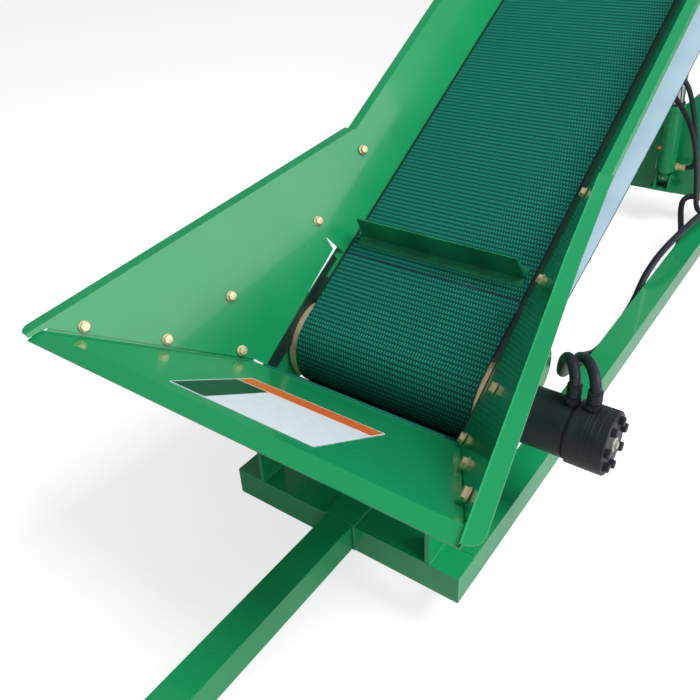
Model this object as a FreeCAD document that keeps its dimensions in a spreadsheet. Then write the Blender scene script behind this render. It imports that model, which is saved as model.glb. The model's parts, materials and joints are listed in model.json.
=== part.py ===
import FreeCAD, Part
import Sketcher
import math
import os

# Firewood conveyor: an inclined, cleated belt in a flared steel trough with a loading hopper at
# its low end, carried by a two-wheeled base frame with a drawbar and a parking jack.
# Lengths are millimetres and angles degrees. +Z is up, +Y runs from the hopper to the delivery
# end and X is across. The origin is on the ground, under the middle of the whole machine.

doc = FreeCAD.newDocument("firewood_conveyor")
sheet = doc.addObject("Spreadsheet::Sheet", "dims")

SIZES = {
    # Base frame
    "base_tube": 80.0,
    "base_half_width": 334.0,
    "base_length": 2770.0,
    "sleeve_tube": 88.0,
    "sleeve_play": 2.0,
    "drawbar_tube": 76.0,
    "drawbar_inset": 700.0,
    "drawbar_reach": 1150.0,
    # Tow eye
    "eye_radius": 45.0,
    "eye_bore": 17.0,
    "eye_thick": 25.0,
    "eye_shank": 60.0,
    "eye_length": 130.0,
    # Uprights and boom pivot
    "upright_thick": 12.0,
    "upright_depth": 76.0,
    "upright_setback": 2.0,
    "upright_gap": 25.0,
    "pin_head": 6.0,
    "pin_head_lip": 8.0,
    "pivot_height": 290.0,
    "pivot_radius": 15.0,
    "pivot_boss": 38.0,
    # Wheels
    "wheel_radius": 203.0,
    "tyre_width": 122.0,
    "rim_radius": 102.0,
    "rim_width": 96.0,
    "hub_radius": 36.0,
    "wheel_gap": 30.0,
    "axle_setback": 40.0,
    "spindle_radius": 15.0,
    "axle_plate": 38.0,
    "hub_half": 36.0,
    "disc_x": 8.0,
    "disc_thick": 4.0,
    "disc_cone": 16.0,
    "disc_dish": 10.0,
    "stub_step": 2.0,
    "rim_lip": 12.0,
    "rim_gauge": 4.0,
    "rim_well": 3.0,
    "axle_flange": 10.0,
    "axle_collar": 8.0,
    "tyre_bead": 10.0,
    "tyre_shoulder": 26.0,
    "tyre_flank": 50.0,
    "tyre_crown": 20.0,
    "tyre_corner": 8.0,
    "tyre_camber": 2.0,
    "tyre_wall": 24.0,
    # Conveyor
    "incline": 30.0,
    "belt_height": 321.3,
    "belt_width": 503.0,
    "belt_thick": 5.0,
    "belt_sag": 195.0,
    "drum_radius": 109.5,
    "drum_wall": 8.0,
    "drum_half": 276.0,
    "drum_recess": 34.0,
    "drum_along": 272.0,
    "drum_spacing": 4700.0,
    "shaft_radius": 20.0,
    "cleat_pitch_count": 8.0,
    "cleat_first": 276.0,
    "cleat_width": 471.0,
    "cleat_height": 75.0,
    "cleat_slant": 10.0,
    "cleat_thick": 7.0,
    "cleat_foot": 34.0,
    "cleat_root": 1.0,
    "belt_play": 0.2,
    # Trough
    "sheet_thick": 3.0,
    "wall_base_x": 262.0,
    "wall_height": 142.0,
    "splay": 28.2,
    "wall_flange": 26.3,
    "wall_lip": 22.0,
    "wall_start": 482.0,
    "wall_past_drum": -70.0,
    "rail_x": 281.0,
    "rail_depth": 98.0,
    "rail_flange": 26.0,
    "rail_start": 400.0,
    "bed_start": 330.0,
    "cross_member": 40.0,
    "cross_member_count": 5.0,
    "cross_gap": 12.0,
    "cross_first": 300.0,
    "cross_last": 530.0,
    "rail_end": 130.0,
    "bed_end": 105.0,
    "side_plate_thick": 8.0,
    "side_plate_end": 620.0,
    "side_plate_drop": 60.0,
    "plate_toe": 60.0,
    "plate_heel": 90.0,
    "plate_taper": 120.0,
    "plate_nose": 12.0,
    "plate_nose_drop": 8.0,
    "plate_crown": 68.0,
    "plate_crown_rise": 97.0,
    "plate_shoulder": 60.0,
    "head_plate_start": 330.0,
    "head_plate_taper": 110.0,
    "head_plate_heel": 50.0,
    "head_plate_nose": 70.0,
    "head_chamfer": 20.0,
    "head_nose_rise": 60.0,
    "ear_along": 424.0,
    "ear_drop": 222.0,
    "ear_radius": 70.0,
    "shaft_end": 24.0,
    "vent_radius": 10.0,
    "bearing_radius": 52.0,
    "bearing_thick": 22.0,
    # Hopper
    "wing_thick": 3.0,
    "wing_flare": 1.4,
    "wing_fold": 480.0,
    "wing_end": 772.0,
    "wing_end_w": 166.8,
    "wing_tip": -144.0,
    "wing_tip_w": 509.5,
    "wing_flange": 30.0,
    "wing_tip_round": 28.0,
    "wing_notch_w": 69.2,
    "wing_lap_w": 86.2,
    "wing_rear_w": 31.8,
    "wing_low": 111.0,
    "wing_low_w": 12.7,
    "wing_joint_w": 47.7,
    "wing_crease": -110.0,
    "wing_crease_w": 481.0,
    "wing_heel_back": 20.0,
    "wing_rear_back": 13.0,
    "wing_joint_back": 5.0,
    "wing_toe_back": 4.0,
    "wing_toe_drop": 9.0,
    "wing_root": 1.0,
    "floor_thick": 4.0,
    "floor_along": 99.8,
    "floor_rise": 42.8,
    "floor_angle": 60.3,
    "floor_length": 434.0,
    "lip_length": 34.0,
    "lip_bend": 44.3,
    "floor_flange": 45.0,
    "floor_seam": 1.7,
    "flange_nose": 12.0,
    "flange_trim": 42.0,
    "flange_rise": 5.0,
    "lip_overhang": 6.0,
    # Drive motor
    "motor_radius": 74.0,
    "motor_length": 154.0,
    "motor_cap_length": 85.0,
    "motor_groove": 9.0,
    "motor_flange": 12.0,
    "motor_flange_lip": 14.5,
    "motor_waist": 11.0,
    "motor_relief": 3.0,
    "motor_step": 5.5,
    "motor_socket": 26.0,
    "port_first_x": 443.0,
    "port_second_x": 489.0,
    "port_angle": 60.0,
    "port_boss": 14.0,
    "port_boss_reach": 80.0,
    "port_stub": 10.0,
    "fitting_radius": 13.0,
    "hose_radius": 12.5,
    "lift_hose_radius": 11.0,
    "port_rise": 20.0,
    "hose_split": 320.0,
    "hose_split_depth": 1000.0,
    "lift_hose_split": 85.0,
    "route_length": 2770.0,
    # Control valve on the right side tube
    "valve_setback": 450.0,
    "valve_width": 64.0,
    "valve_length": 120.0,
    "valve_height": 74.0,
    "valve_plate": 6.0,
    "valve_margin": 2.0,
    "valve_fitting": 24.0,
    "valve_port_low": 24.0,
    "valve_port_high": 58.0,
    "valve_port_inner": 16.0,
    "valve_port_outer": 48.0,
    "lever_radius": 6.0,
    "lever_length": 150.0,
    "lever_along": 60.0,
    "lever_knob": 13.0,
    # Lift
    "saddle_along": 2557.0,
    "saddle_drop": 540.0,
    "saddle_tube": 60.0,
    "saddle_width": 80.0,
    "saddle_foot": 110.0,
    "lug_shoulder": 10.0,
    "lug_corner": 12.0,
    "lug_trim": 4.0,
    "lug_thick": 10.0,
    "lug_gap": 56.0,
    "lift_eye_drop": 40.0,
    "lift_eye_radius": 26.0,
    "lift_eye_gap": 5.0,
    "lift_pin_radius": 12.0,
    "lift_pin_end": 8.0,
    "lift_foot_inset": 50.0,
    "lift_foot_z": 95.0,
    "barrel_radius": 45.0,
    "stage_wall": 7.0,
    "stage_clearance": 0.4,
    "stage_length": 310.0,
    "stage_step": 2.0,
    "stage_floor": 1.5,
    "neck_clear": 7.0,
    "neck_step": 12.0,
    "lift_neck": 26.0,
    "lift_pin_play": 8.0,
    "foot_half": 60.0,
    "foot_reach": 90.0,
    "foot_thick": 10.0,
    "foot_low": 34.0,
    "foot_shoulder": 16.0,
    "foot_trim": 8.0,
    "barrel_foot": 56.0,
    "barrel_port": 60.0,
    "barrel_port_reach": 60.0,
    "gusset_reach": 17.0,
    "gusset_low": 385.0,
    "gusset_bend_x": 29.0,
    "gusset_bend_z": 436.0,
    "cradle_gap": 2.0,
    "cradle_width": 190.0,
    "cradle_low": 470.0,
    "cradle_high": 560.0,
    "cradle_thick": 8.0,
    "cradle_setback": 10.0,
    # Parking jack
    "jack_setback": 260.0,
    "jack_radius": 30.0,
    "jack_wall": 5.0,
    "jack_height": 560.0,
    "jack_leg_radius": 24.5,
    "jack_foot_radius": 75.0,
    "jack_foot_thick": 6.0,
    "jack_offset": 12.0,
    "jack_low": 165.0,
    "jack_plate": 8.0,
    "jack_travel": 150.0,
    "jack_cap": 20.0,
    "jack_clearance": 6.0,
    "crank_drop": 35.0,
    "crank_radius": 8.0,
    "crank_reach": 30.0,
    "crank_arm": 130.0,
    "crank_depth": 20.0,
    "crank_knob": 90.0,
    "crank_knob_radius": 12.0,
    # General
    "fit": 0.1,
    "over": 1.0,
    "drill": 1200.0,
}

for row, (alias, value) in enumerate(SIZES.items(), start=1):
    sheet.set("A%d" % row, alias)
    sheet.set("B%d" % row, repr(value))
    sheet.setAlias("B%d" % row, alias)
doc.recompute()

PARTS = []
X_AXIS, Y_AXIS, Z_AXIS = "1; 0; 0", "0; 1; 0", "0; 0; 1"


def size(alias):
    return float(getattr(sheet, alias))


def D(text):
    """Formula text in which every size name is read from the sheet."""
    out = ""
    word = ""
    for letter in text + " ":
        if letter.isalnum() or letter == "_":
            word += letter
            continue
        out += "dims." + word if word in SIZES else word
        out += letter
        word = ""
    return out.strip()


def move(x, y, z):
    return ("create(<<placement>>; create(<<vector>>; %s; %s; %s); "
            "create(<<rotation>>; create(<<vector>>; 0; 0; 1); 0))" % (D(x), D(y), D(z)))


def turn(axis, angle):
    return ("create(<<placement>>; create(<<vector>>; 0; 0; 0); "
            "create(<<rotation>>; create(<<vector>>; %s); %s))" % (axis, D(angle)))


def chain(*steps):
    return " * ".join(steps)


# Frames. BASE lies on the underside of the base tubes at the front of the crossbar. BOOM follows
# the belt: X across, Y up the conveyor, Z away from its carrying face.
OUTER = "(drum_radius + belt_thick)"
HEAD = "(drum_along + drum_spacing)"
UPRIGHT_X = "(rail_x - upright_gap - upright_thick)"
VALVE_Y = "(base_length - valve_setback)"
CRADLE_X = "(base_half_width - base_tube - cradle_gap - cradle_width)"
LIFT_FOOT_Y = "(base_length - base_tube - lift_foot_inset)"
REAR_Y = "(%s * cos(incline) + %s * sin(incline) + %s)" % (HEAD, OUTER, OUTER)
BASE = move("0", "(drawbar_reach - %s) / 2" % REAR_Y, "wheel_radius - base_tube / 2")
BOOM = chain(BASE, move("0", "0", "belt_height"), turn(X_AXIS, "incline"))
SIDE = turn("1; 1; 1", "120")          # sketch X, Y, Z become along, up and across
SECTION = turn(X_AXIS, "90")           # sketch X, Y become across and up, and Z runs back to front
WALL = chain(BOOM, move("wall_base_x", "0", "0"), turn(Y_AXIS, "splay"), SIDE)
FRONT_WALL = chain(WALL, move("wing_fold", "0", "0"), turn(Y_AXIS, "wing_flare"))


def bind(thing, **values):
    for name, formula in values.items():
        thing.setExpression(name, D(formula))


def place(thing, frame):
    thing.setExpression("Placement", frame)
    return thing


def keep(thing, label):
    thing.Label = label
    PARTS.append(thing)
    return thing


def box(name, frame, length, width, height):
    thing = doc.addObject("Part::Box", name)
    bind(thing, Length=length, Width=width, Height=height)
    return place(thing, frame)


def rod(name, frame, radius, height):
    thing = doc.addObject("Part::Cylinder", name)
    bind(thing, Radius=radius, Height=height)
    return place(thing, frame)


def fuse(name, *things):
    joined = doc.addObject("Part::MultiFuse", name)
    joined.Shapes = list(things)
    joined.Refine = True
    return joined


def cut(name, base, tool):
    thing = doc.addObject("Part::Cut", name)
    thing.Base = base
    thing.Tool = tool
    return thing


def mirrored(name, source):
    thing = doc.addObject("Part::Mirroring", name)
    thing.Source = source
    thing.Normal = FreeCAD.Vector(1, 0, 0)
    return thing


def sketch_on(body, name, points):
    """A closed outline whose corners are bound to formulas of the sheet."""
    sketch = body.newObject("Sketcher::SketchObject", name)
    plane = [item for item in body.Origin.OriginFeatures if item.Role == "XY_Plane"][0]
    sketch.AttachmentSupport = [(plane, "")]
    sketch.MapMode = "FlatFace"
    count = len(points)
    for i in range(count):
        start = FreeCAD.Vector(10.0 * i + 1.0, 5.0 * i * i + 1.0, 0)
        j = (i + 1) % count
        end = FreeCAD.Vector(10.0 * j + 1.0, 5.0 * j * j + 1.0, 0)
        sketch.addGeometry(Part.LineSegment(start, end))
    for i in range(count):
        sketch.addConstraint(Sketcher.Constraint("Coincident", i, 2, (i + 1) % count, 1))
    for i, corner in enumerate(points):
        for kind, formula in zip(("DistanceX", "DistanceY"), corner):
            index = sketch.addConstraint(Sketcher.Constraint(kind, -1, 1, i, 1, 1.0))
            sketch.setExpression("Constraints[%d]" % index, D(str(formula)))
    return sketch


def plate(name, frame, points, thickness):
    body = doc.addObject("PartDesign::Body", name)
    sketch = sketch_on(body, name + "_outline", points)
    pad = body.newObject("PartDesign::Pad", name + "_pad")
    pad.Profile = sketch
    bind(pad, Length=thickness)
    return place(body, frame)


def turned(name, frame, points):
    """A solid of revolution about the frame's X axis from an outline of (x, radius) corners."""
    body = doc.addObject("PartDesign::Body", name)
    sketch = sketch_on(body, name + "_outline", points)
    spin = body.newObject("PartDesign::Revolution", name + "_spin")
    spin.Profile = sketch
    spin.ReferenceAxis = (sketch, ["H_Axis"])
    spin.Angle = 360.0
    return place(body, frame)


# ---------------------------------------------------------------- base frame
def make_base():
    half = "(base_half_width - sleeve_tube / 2)"
    right = box("crossbar_right", chain(BASE, move("sleeve_tube / 2", "0", "0")),
                half, "base_tube", "base_tube")
    left = box("crossbar_left", chain(BASE, move("-base_half_width", "0", "0")),
               half, "base_tube", "base_tube")
    compound = doc.addObject("Part::Compound", "crossbar")
    compound.Links = [left, right]
    keep(compound, "front_crossbar")
    bore = "(drawbar_tube + sleeve_play)"
    seat = "(base_tube - drawbar_tube) / 2"
    low = "(%s - (sleeve_tube - %s) / 2)" % (seat, bore)
    outer = box("sleeve_outer", chain(BASE, move("-sleeve_tube / 2", "0", low)),
                "sleeve_tube", "base_tube", "sleeve_tube")
    inner = box("sleeve_inner", chain(BASE, move("-%s / 2" % bore, "-over", seat)),
                bore, "base_tube + 2 * over", bore)
    keep(cut("sleeve", outer, inner), "drawbar_sleeve")
    keep(box("drawbar_bar", chain(BASE, move("-drawbar_tube / 2", "-(drawbar_reach - eye_length)", seat)),
             "drawbar_tube", "drawbar_reach - eye_length + drawbar_inset", "drawbar_tube"), "drawbar")
    for side, name in ((-1, "left"), (1, "right")):
        x = "base_half_width - base_tube" if side > 0 else "-base_half_width"
        keep(box("side_" + name, chain(BASE, move(x, "base_tube", "0")),
                 "base_tube", "base_length - base_tube", "base_tube"), "side_tube_" + name)
    span = "(2 * (base_half_width - base_tube))"
    keep(box("rear", chain(BASE, move("-%s / 2" % span, "base_length - base_tube", "0")),
             span, "base_tube", "base_tube"), "rear_beam")


def make_uprights():
    y0, y1 = "upright_setback", "(upright_setback + upright_depth)"
    top = "pivot_height"
    for side, name in ((-1, "left"), (1, "right")):
        x = UPRIGHT_X if side > 0 else "-(%s + upright_thick)" % UPRIGHT_X
        frame = chain(BASE, move(x, "0", "0"), SIDE)
        body = plate("upright_%s_plate" % name, frame,
                     [(y0, "base_tube"), (y1, "base_tube"), (y1, top), (y0, top)], "upright_thick")
        centre = "(upright_setback + upright_depth / 2)"
        boss = rod("upright_%s_boss" % name, chain(BASE, move(x, centre, top), turn(Y_AXIS, "90")),
                   "pivot_boss", "upright_thick")
        hole = rod("upright_%s_hole" % name,
                   chain(BASE, move(x + " - over", centre, top), turn(Y_AXIS, "90")),
                   "pivot_radius + fit", "upright_thick + 2 * over")
        solid = fuse("upright_%s_solid" % name, body, boss)
        keep(cut("upright_%s_cut" % name, solid, hole), "upright_" + name)


def make_hitch():
    """Tow eye on the drawbar's end and the plates that weld it there."""
    ring = rod("eye_ring", chain(BASE, move("0", "-(drawbar_reach - eye_radius)",
                                           "(base_tube - eye_thick) / 2")), "eye_radius", "eye_thick")
    shank = box("eye_shank", chain(BASE, move("-eye_shank / 2", "-(drawbar_reach - eye_radius)",
                                              "(base_tube - eye_thick) / 2")),
                "eye_shank", "eye_length - eye_radius", "eye_thick")
    hole = rod("eye_hole", chain(BASE, move("0", "-(drawbar_reach - eye_radius)",
                                           "(base_tube - eye_thick) / 2 - over")),
               "eye_bore", "eye_thick + 2 * over")
    keep(cut("eye_cut", fuse("eye_solid", ring, shank), hole), "tow_eye")


def make_jack():
    """Side-wind parking jack clamped to the drawbar: tube, bracket and crank; leg and foot."""
    y = "-(drawbar_reach - jack_setback)"
    x = "(drawbar_tube / 2 + jack_radius + jack_offset)"
    top = "(jack_height - wheel_radius + base_tube / 2)"
    low = "(jack_low - wheel_radius + base_tube / 2)"
    tube = rod("jack_outer", chain(BASE, move(x, y, low)), "jack_radius", "%s - %s" % (top, low))
    web = box("jack_web", chain(BASE, move("drawbar_tube / 2", y + " - jack_plate / 2", "0")),
              "jack_offset + jack_radius", "jack_plate", "base_tube")
    pad = box("jack_pad", chain(BASE, move("drawbar_tube / 2", y + " - base_tube / 2",
                                          "(base_tube - drawbar_tube) / 2")),
              "jack_plate", "base_tube", "drawbar_tube")
    bore = rod("jack_bore", chain(BASE, move(x, y, "-over")), "jack_radius - jack_wall",
               "%s + over - jack_cap" % top)
    winding = "(%s - crank_drop)" % top
    front = "(%s - jack_radius - crank_reach)" % y
    crank = rod("jack_shaft", chain(BASE, move(x, y, winding), turn(X_AXIS, "90")),
                "crank_radius", "jack_radius + crank_reach")
    arm = box("jack_arm", chain(BASE, move(x + " - crank_radius", front, winding + " - crank_depth / 2")),
              "crank_arm", "crank_radius", "crank_depth")
    knob = rod("jack_knob", chain(BASE, move(x + " + crank_arm - crank_depth", front + " + crank_radius / 2",
                                             winding), turn(X_AXIS, "90")), "crank_knob_radius", "crank_knob")
    solid = fuse("jack_solid", tube, web, pad, crank, arm, knob)
    keep(cut("jack_cut", solid, bore), "parking_jack")
    ground = "-(wheel_radius - base_tube / 2)"
    leg = rod("jack_leg_tube", chain(BASE, move(x, y, ground)), "jack_leg_radius",
              "jack_height - jack_cap - jack_travel - jack_clearance")
    foot = rod("jack_foot", chain(BASE, move(x, y, ground)), "jack_foot_radius", "jack_foot_thick")
    keep(fuse("jack_leg_solid", leg, foot), "jack_leg")


def make_wheels():
    """Stub axles on the side tubes, pressed steel rims with hubs, and tyres."""
    y = "(base_length - axle_setback)"
    centre = "(base_half_width + wheel_gap + tyre_width / 2)"
    for side, name in ((1, "right"), (-1, "left")):
        frame = chain(BASE, move("%d * %s" % (side, centre), y, "base_tube / 2"),
                      turn(Z_AXIS, "0" if side > 0 else "180"))
        inner = "-(tyre_width / 2 + wheel_gap)"
        half = "(rim_width / 2)"
        collar = "(spindle_radius + axle_collar)"
        stub = turned("stub_%s" % name, frame, [
            (inner, "0"), (inner, "axle_plate"), (inner + " + axle_flange", "axle_plate"),
            (inner + " + axle_flange", collar), ("-hub_half - stub_step", collar),
            ("-hub_half - stub_step", "spindle_radius"), ("hub_half + 2 * stub_step", "spindle_radius"),
            ("hub_half + 2 * stub_step", "0")])
        keep(stub, "stub_axle_" + name)
        lip, well = "rim_radius + rim_lip", "rim_radius + rim_well"
        flank, eye = "hub_radius + disc_cone", "spindle_radius + fit"
        rim = turned("rim_%s" % name, frame, [
            ("-" + half, "rim_radius"), ("-" + half, lip), ("-%s + rim_gauge" % half, lip),
            ("-%s + rim_gauge" % half, well), (half + " - rim_gauge", well),
            (half + " - rim_gauge", lip), (half, lip), (half, "rim_radius"),
            ("disc_x + disc_thick", "rim_radius"), ("disc_x + disc_thick", flank),
            ("disc_x + disc_thick + disc_dish", "hub_radius"), ("hub_half", "hub_radius"),
            ("hub_half", eye), ("-hub_half", eye), ("-hub_half", "hub_radius"),
            ("disc_x + disc_dish", "hub_radius"), ("disc_x", flank), ("disc_x", "rim_radius")])
        keep(rim, "rim_" + name)
        bead = "(rim_radius + rim_well)"
        wide = "(tyre_width / 2)"
        seat = "(%s - rim_gauge)" % half
        wall = "(%s - tyre_wall)" % half
        tyre = turned("tyre_%s" % name, frame, [
            ("-" + seat, bead), ("-" + seat, bead + " + tyre_bead"),
            ("-%s - rim_gauge" % half, bead + " + 2 * tyre_bead"),
            ("-" + wide, "wheel_radius - tyre_flank"), ("-%s + 1" % wide, "wheel_radius - tyre_shoulder"),
            ("-%s + tyre_corner" % wide, "wheel_radius - tyre_corner"),
            ("-%s + tyre_crown" % wide, "wheel_radius - tyre_camber"),
            ("-tyre_crown", "wheel_radius"), ("tyre_crown", "wheel_radius"),
            (wide + " - tyre_crown", "wheel_radius - tyre_camber"),
            (wide + " - tyre_corner", "wheel_radius - tyre_corner"),
            (wide + " - 1", "wheel_radius - tyre_shoulder"), (wide, "wheel_radius - tyre_flank"),
            (half + " + rim_gauge", bead + " + 2 * tyre_bead"), (seat, bead + " + tyre_bead"),
            (seat, bead), (wall + " + rim_gauge", bead + " + fit"), (wall, bead + " + tyre_wall"),
            ("-" + wall, bead + " + tyre_wall"), ("-%s - rim_gauge" % wall, bead + " + fit")])
        keep(tyre, "tyre_" + name)


# ---------------------------------------------------------------- boom
SHAFT_H = "(-%s)" % OUTER
PIVOT_A = "((upright_setback + upright_depth / 2) * cos(incline) + (pivot_height - belt_height) * sin(incline))"
PIVOT_H = "((pivot_height - belt_height) * cos(incline) - (upright_setback + upright_depth / 2) * sin(incline))"
PLATE_X = "(rail_x + sheet_thick)"


def hole_through(name, along, rise, radius):
    """A drill across the whole boom."""
    return rod(name, chain(BOOM, move("-drill / 2", along, rise), turn(Y_AXIS, "90")), radius, "drill")


def make_side_plates():
    """Plates each side of the drive drum, from the boom pivot to the rails."""
    drop = "(-(%s + side_plate_drop))" % OUTER
    rail_low = "(-(rail_depth + sheet_thick))"
    outline = [(PIVOT_A + " - pivot_boss", PIVOT_H + " - pivot_boss"),
               ("drum_along - plate_toe", drop), ("drum_along + plate_heel", drop),
               ("side_plate_end - plate_taper", rail_low), ("side_plate_end", rail_low),
               ("side_plate_end", "-(belt_thick - sheet_thick)"),
               ("floor_along + plate_nose", "-(belt_thick - sheet_thick)"),
               ("floor_along - plate_nose_drop", "floor_rise - plate_nose_drop"),
               ("floor_along - plate_crown", "floor_rise + plate_crown_rise"),
               (PIVOT_A + " - pivot_boss", "floor_rise + plate_shoulder")]
    for side, name in ((-1, "left"), (1, "right")):
        x = PLATE_X if side > 0 else "-(%s + side_plate_thick)" % PLATE_X
        body = plate("side_plate_%s_body" % name, chain(BOOM, move(x, "0", "0"), SIDE),
                     outline, "side_plate_thick")
        shaft = hole_through("shaft_hole_" + name, "drum_along", SHAFT_H, "shaft_radius + fit")
        if side > 0:
            ear = rod("side_plate_ear", chain(BOOM, move(x, "ear_along", "-ear_drop"),
                                              turn(Y_AXIS, "90")), "ear_radius", "side_plate_thick")
            arm = box("side_plate_arm", chain(BOOM, move(x, "drum_along", "-ear_drop - ear_radius")),
                      "side_plate_thick", "ear_along - drum_along", "2 * ear_radius")
            body = fuse("side_plate_eared", body, ear, arm)
        keep(cut("side_plate_%s_cut" % name, body, shaft), "side_plate_" + name)
    pins = []
    for side, name in ((-1, "left"), (1, "right")):
        start = "%s - pin_head_lip" % UPRIGHT_X if side > 0 else "-(%s)" % PLATE_X
        pin = rod("pivot_pin_" + name, chain(BOOM, move(start, PIVOT_A, PIVOT_H), turn(Y_AXIS, "90")),
                  "pivot_radius", "%s - %s + pin_head_lip" % (PLATE_X, UPRIGHT_X))
        inner = "(%s - pin_head_lip)" % UPRIGHT_X
        x = inner + " - pin_head" if side > 0 else "-" + inner
        head = rod("pivot_head_" + name, chain(BOOM, move(x, PIVOT_A, PIVOT_H), turn(Y_AXIS, "90")),
                   "pivot_radius + pin_head_lip", "pin_head")
        pins.append(fuse("pivot_%s" % name, pin, head))
    compound = doc.addObject("Part::Compound", "pins")
    compound.Links = pins
    keep(compound, "pivot_pins")


def make_rails():
    start, end = "rail_start", "(%s - rail_end)" % HEAD
    t = "sheet_thick"
    top = "(-(belt_thick - sheet_thick))"
    low = "(-(rail_depth + sheet_thick))"
    outer, inner = PLATE_X, "rail_x"
    frame = chain(BOOM, move("0", end, "0"), SECTION)
    right = plate("rail_right", frame, [
        ("wall_base_x", top), (outer, top), (outer, low), (outer + " - rail_flange", low),
        (outer + " - rail_flange", low + " + " + t), (inner, low + " + " + t),
        (inner, top + " - " + t), ("wall_base_x", top + " - " + t)], "%s - %s" % (end, start))
    keep(right, "frame_rail_right")
    keep(mirrored("rail_left", right), "frame_rail_left")
    bars = []
    count = int(size("cross_member_count"))
    for i in range(count):
        reach = "(%s - rail_start - cross_first - cross_last)" % end
        along = "(rail_start + cross_first + %d * %s / (cross_member_count - 1))" % (i, reach)
        bars.append(box("cross_%d" % (i + 1), chain(BOOM, move("-rail_x", along,
                    "-belt_thick - sheet_thick - cross_member - cross_gap")),
                    "2 * rail_x", "cross_member", "cross_member"))
    compound = doc.addObject("Part::Compound", "cross_bars")
    compound.Links = bars
    keep(compound, "cross_members")
    keep(box("bed", chain(BOOM, move("-rail_x", "bed_start", "-belt_thick - sheet_thick")),
             "2 * rail_x", "%s - bed_end - bed_start" % HEAD, t), "slider_bed")


def make_walls():
    h, s, t = "wall_height", "tan(splay)", "sheet_thick"
    base = "(-(belt_thick - sheet_thick))"
    lean = "(sheet_thick / cos(splay))"
    corner = "(wall_base_x + %s * %s)" % (h, s)
    ridge = "(%s + wall_flange)" % corner
    outline = [("wall_base_x + %s * %s" % (base, s), base), (corner, h), (ridge, h),
               (ridge, h + " - wall_lip"), (ridge + " - " + t, h + " - wall_lip"),
               (ridge + " - " + t, h + " - " + t),
               ("wall_base_x + %s + (%s - %s) * %s" % (lean, h, t, s), h + " - " + t),
               ("wall_base_x + %s + %s * %s" % (lean, base, s), base)]
    end = "(%s + wall_past_drum)" % HEAD
    right = plate("wall_right", chain(BOOM, move("0", end, "0"), SECTION), outline,
                  "%s - wall_start" % end)
    keep(right, "trough_wall_right")
    keep(mirrored("wall_left", right), "trough_wall_left")


def prism(corners, push, arc_at=None):
    """A flat outline, given by its corners, pushed along a vector. The corner numbered arc_at is
    the middle of an arc between its two neighbours."""
    edges = []
    count = len(corners)
    for i in range(count):
        j = (i + 1) % count
        if arc_at == i:
            continue
        if arc_at == j:
            edges.append(Part.Arc(corners[i], corners[j], corners[(j + 1) % count]).toShape())
        else:
            edges.append(Part.LineSegment(corners[i], corners[j]).toShape())
    return Part.Face(Part.Wire(edges)).extrude(push)


def wing_shape():
    """One folded sheet in the wall's frame (X up the conveyor, Y up the wall, Z out of it): a lap
    that lies on the trough wall, a slightly flared front and a flange turned out on top."""
    fold, end, tip = size("wing_fold"), size("wing_end"), size("wing_tip")
    flare = math.tan(math.radians(size("wing_flare")))
    end_w, tip_w = size("wing_end_w"), size("wing_tip_w")
    fold_w = end_w + (end - fold) * (tip_w - end_w) / (end - tip)
    thick = size("wing_thick")

    def on_sheet(x, w):
        return FreeCAD.Vector(x, w, max(fold - x, 0.0) * flare)

    notch = on_sheet(fold, size("wing_notch_w"))
    bend_top = on_sheet(fold, fold_w)
    heel, toe = on_sheet(end, end_w), on_sheet(tip, tip_w)
    lap = [notch, on_sheet(end - size("wing_heel_back"), size("wing_lap_w")), heel, bend_top]
    seam = size("floor_seam")
    front = [notch, on_sheet(fold - size("wing_rear_back"), size("wing_rear_w")),
             on_sheet(size("wing_low") + seam, size("wing_low_w")),
             on_sheet(size("floor_along") + size("wing_joint_back") + seam, size("wing_joint_w")),
             on_sheet(size("wing_crease") + seam, size("wing_crease_w") + seam),
             on_sheet(tip - size("wing_toe_back") + seam, tip_w - size("wing_toe_drop")), toe, bend_top]
    inward = FreeCAD.Vector(0, 0, -thick)
    splay = math.radians(size("splay"))
    out = FreeCAD.Vector(0, math.sin(splay), math.cos(splay))
    down = FreeCAD.Vector(0, -math.cos(splay), math.sin(splay)) * thick
    wide, curve = size("wing_flange"), size("wing_tip_round")
    ahead = (bend_top - toe).normalize()
    root = size("wing_root")
    inset = curve * (1.0 - math.sqrt(0.5))
    tip_flange = [toe - out * root, toe + out * (wide - curve),
                  toe + out * (wide - inset) + ahead * inset,
                  toe + out * wide + ahead * curve, bend_top + out * wide, bend_top - out * root]
    lap_flange = [bend_top - out * root, bend_top + out * wide, heel + out * wide, heel - out * root]
    plates = prism(lap, inward).fuse(prism(front, inward))
    flange = prism(tip_flange, down, arc_at=2).fuse(prism(lap_flange, down))
    return plates.fuse(flange)


def make_wings():
    right = doc.addObject("Part::Feature", "wing_sheet")
    right.Shape = wing_shape()
    place(right, WALL)
    keep(right, "hopper_wing_right")
    keep(mirrored("wing_mirror", right), "hopper_wing_left")


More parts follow.
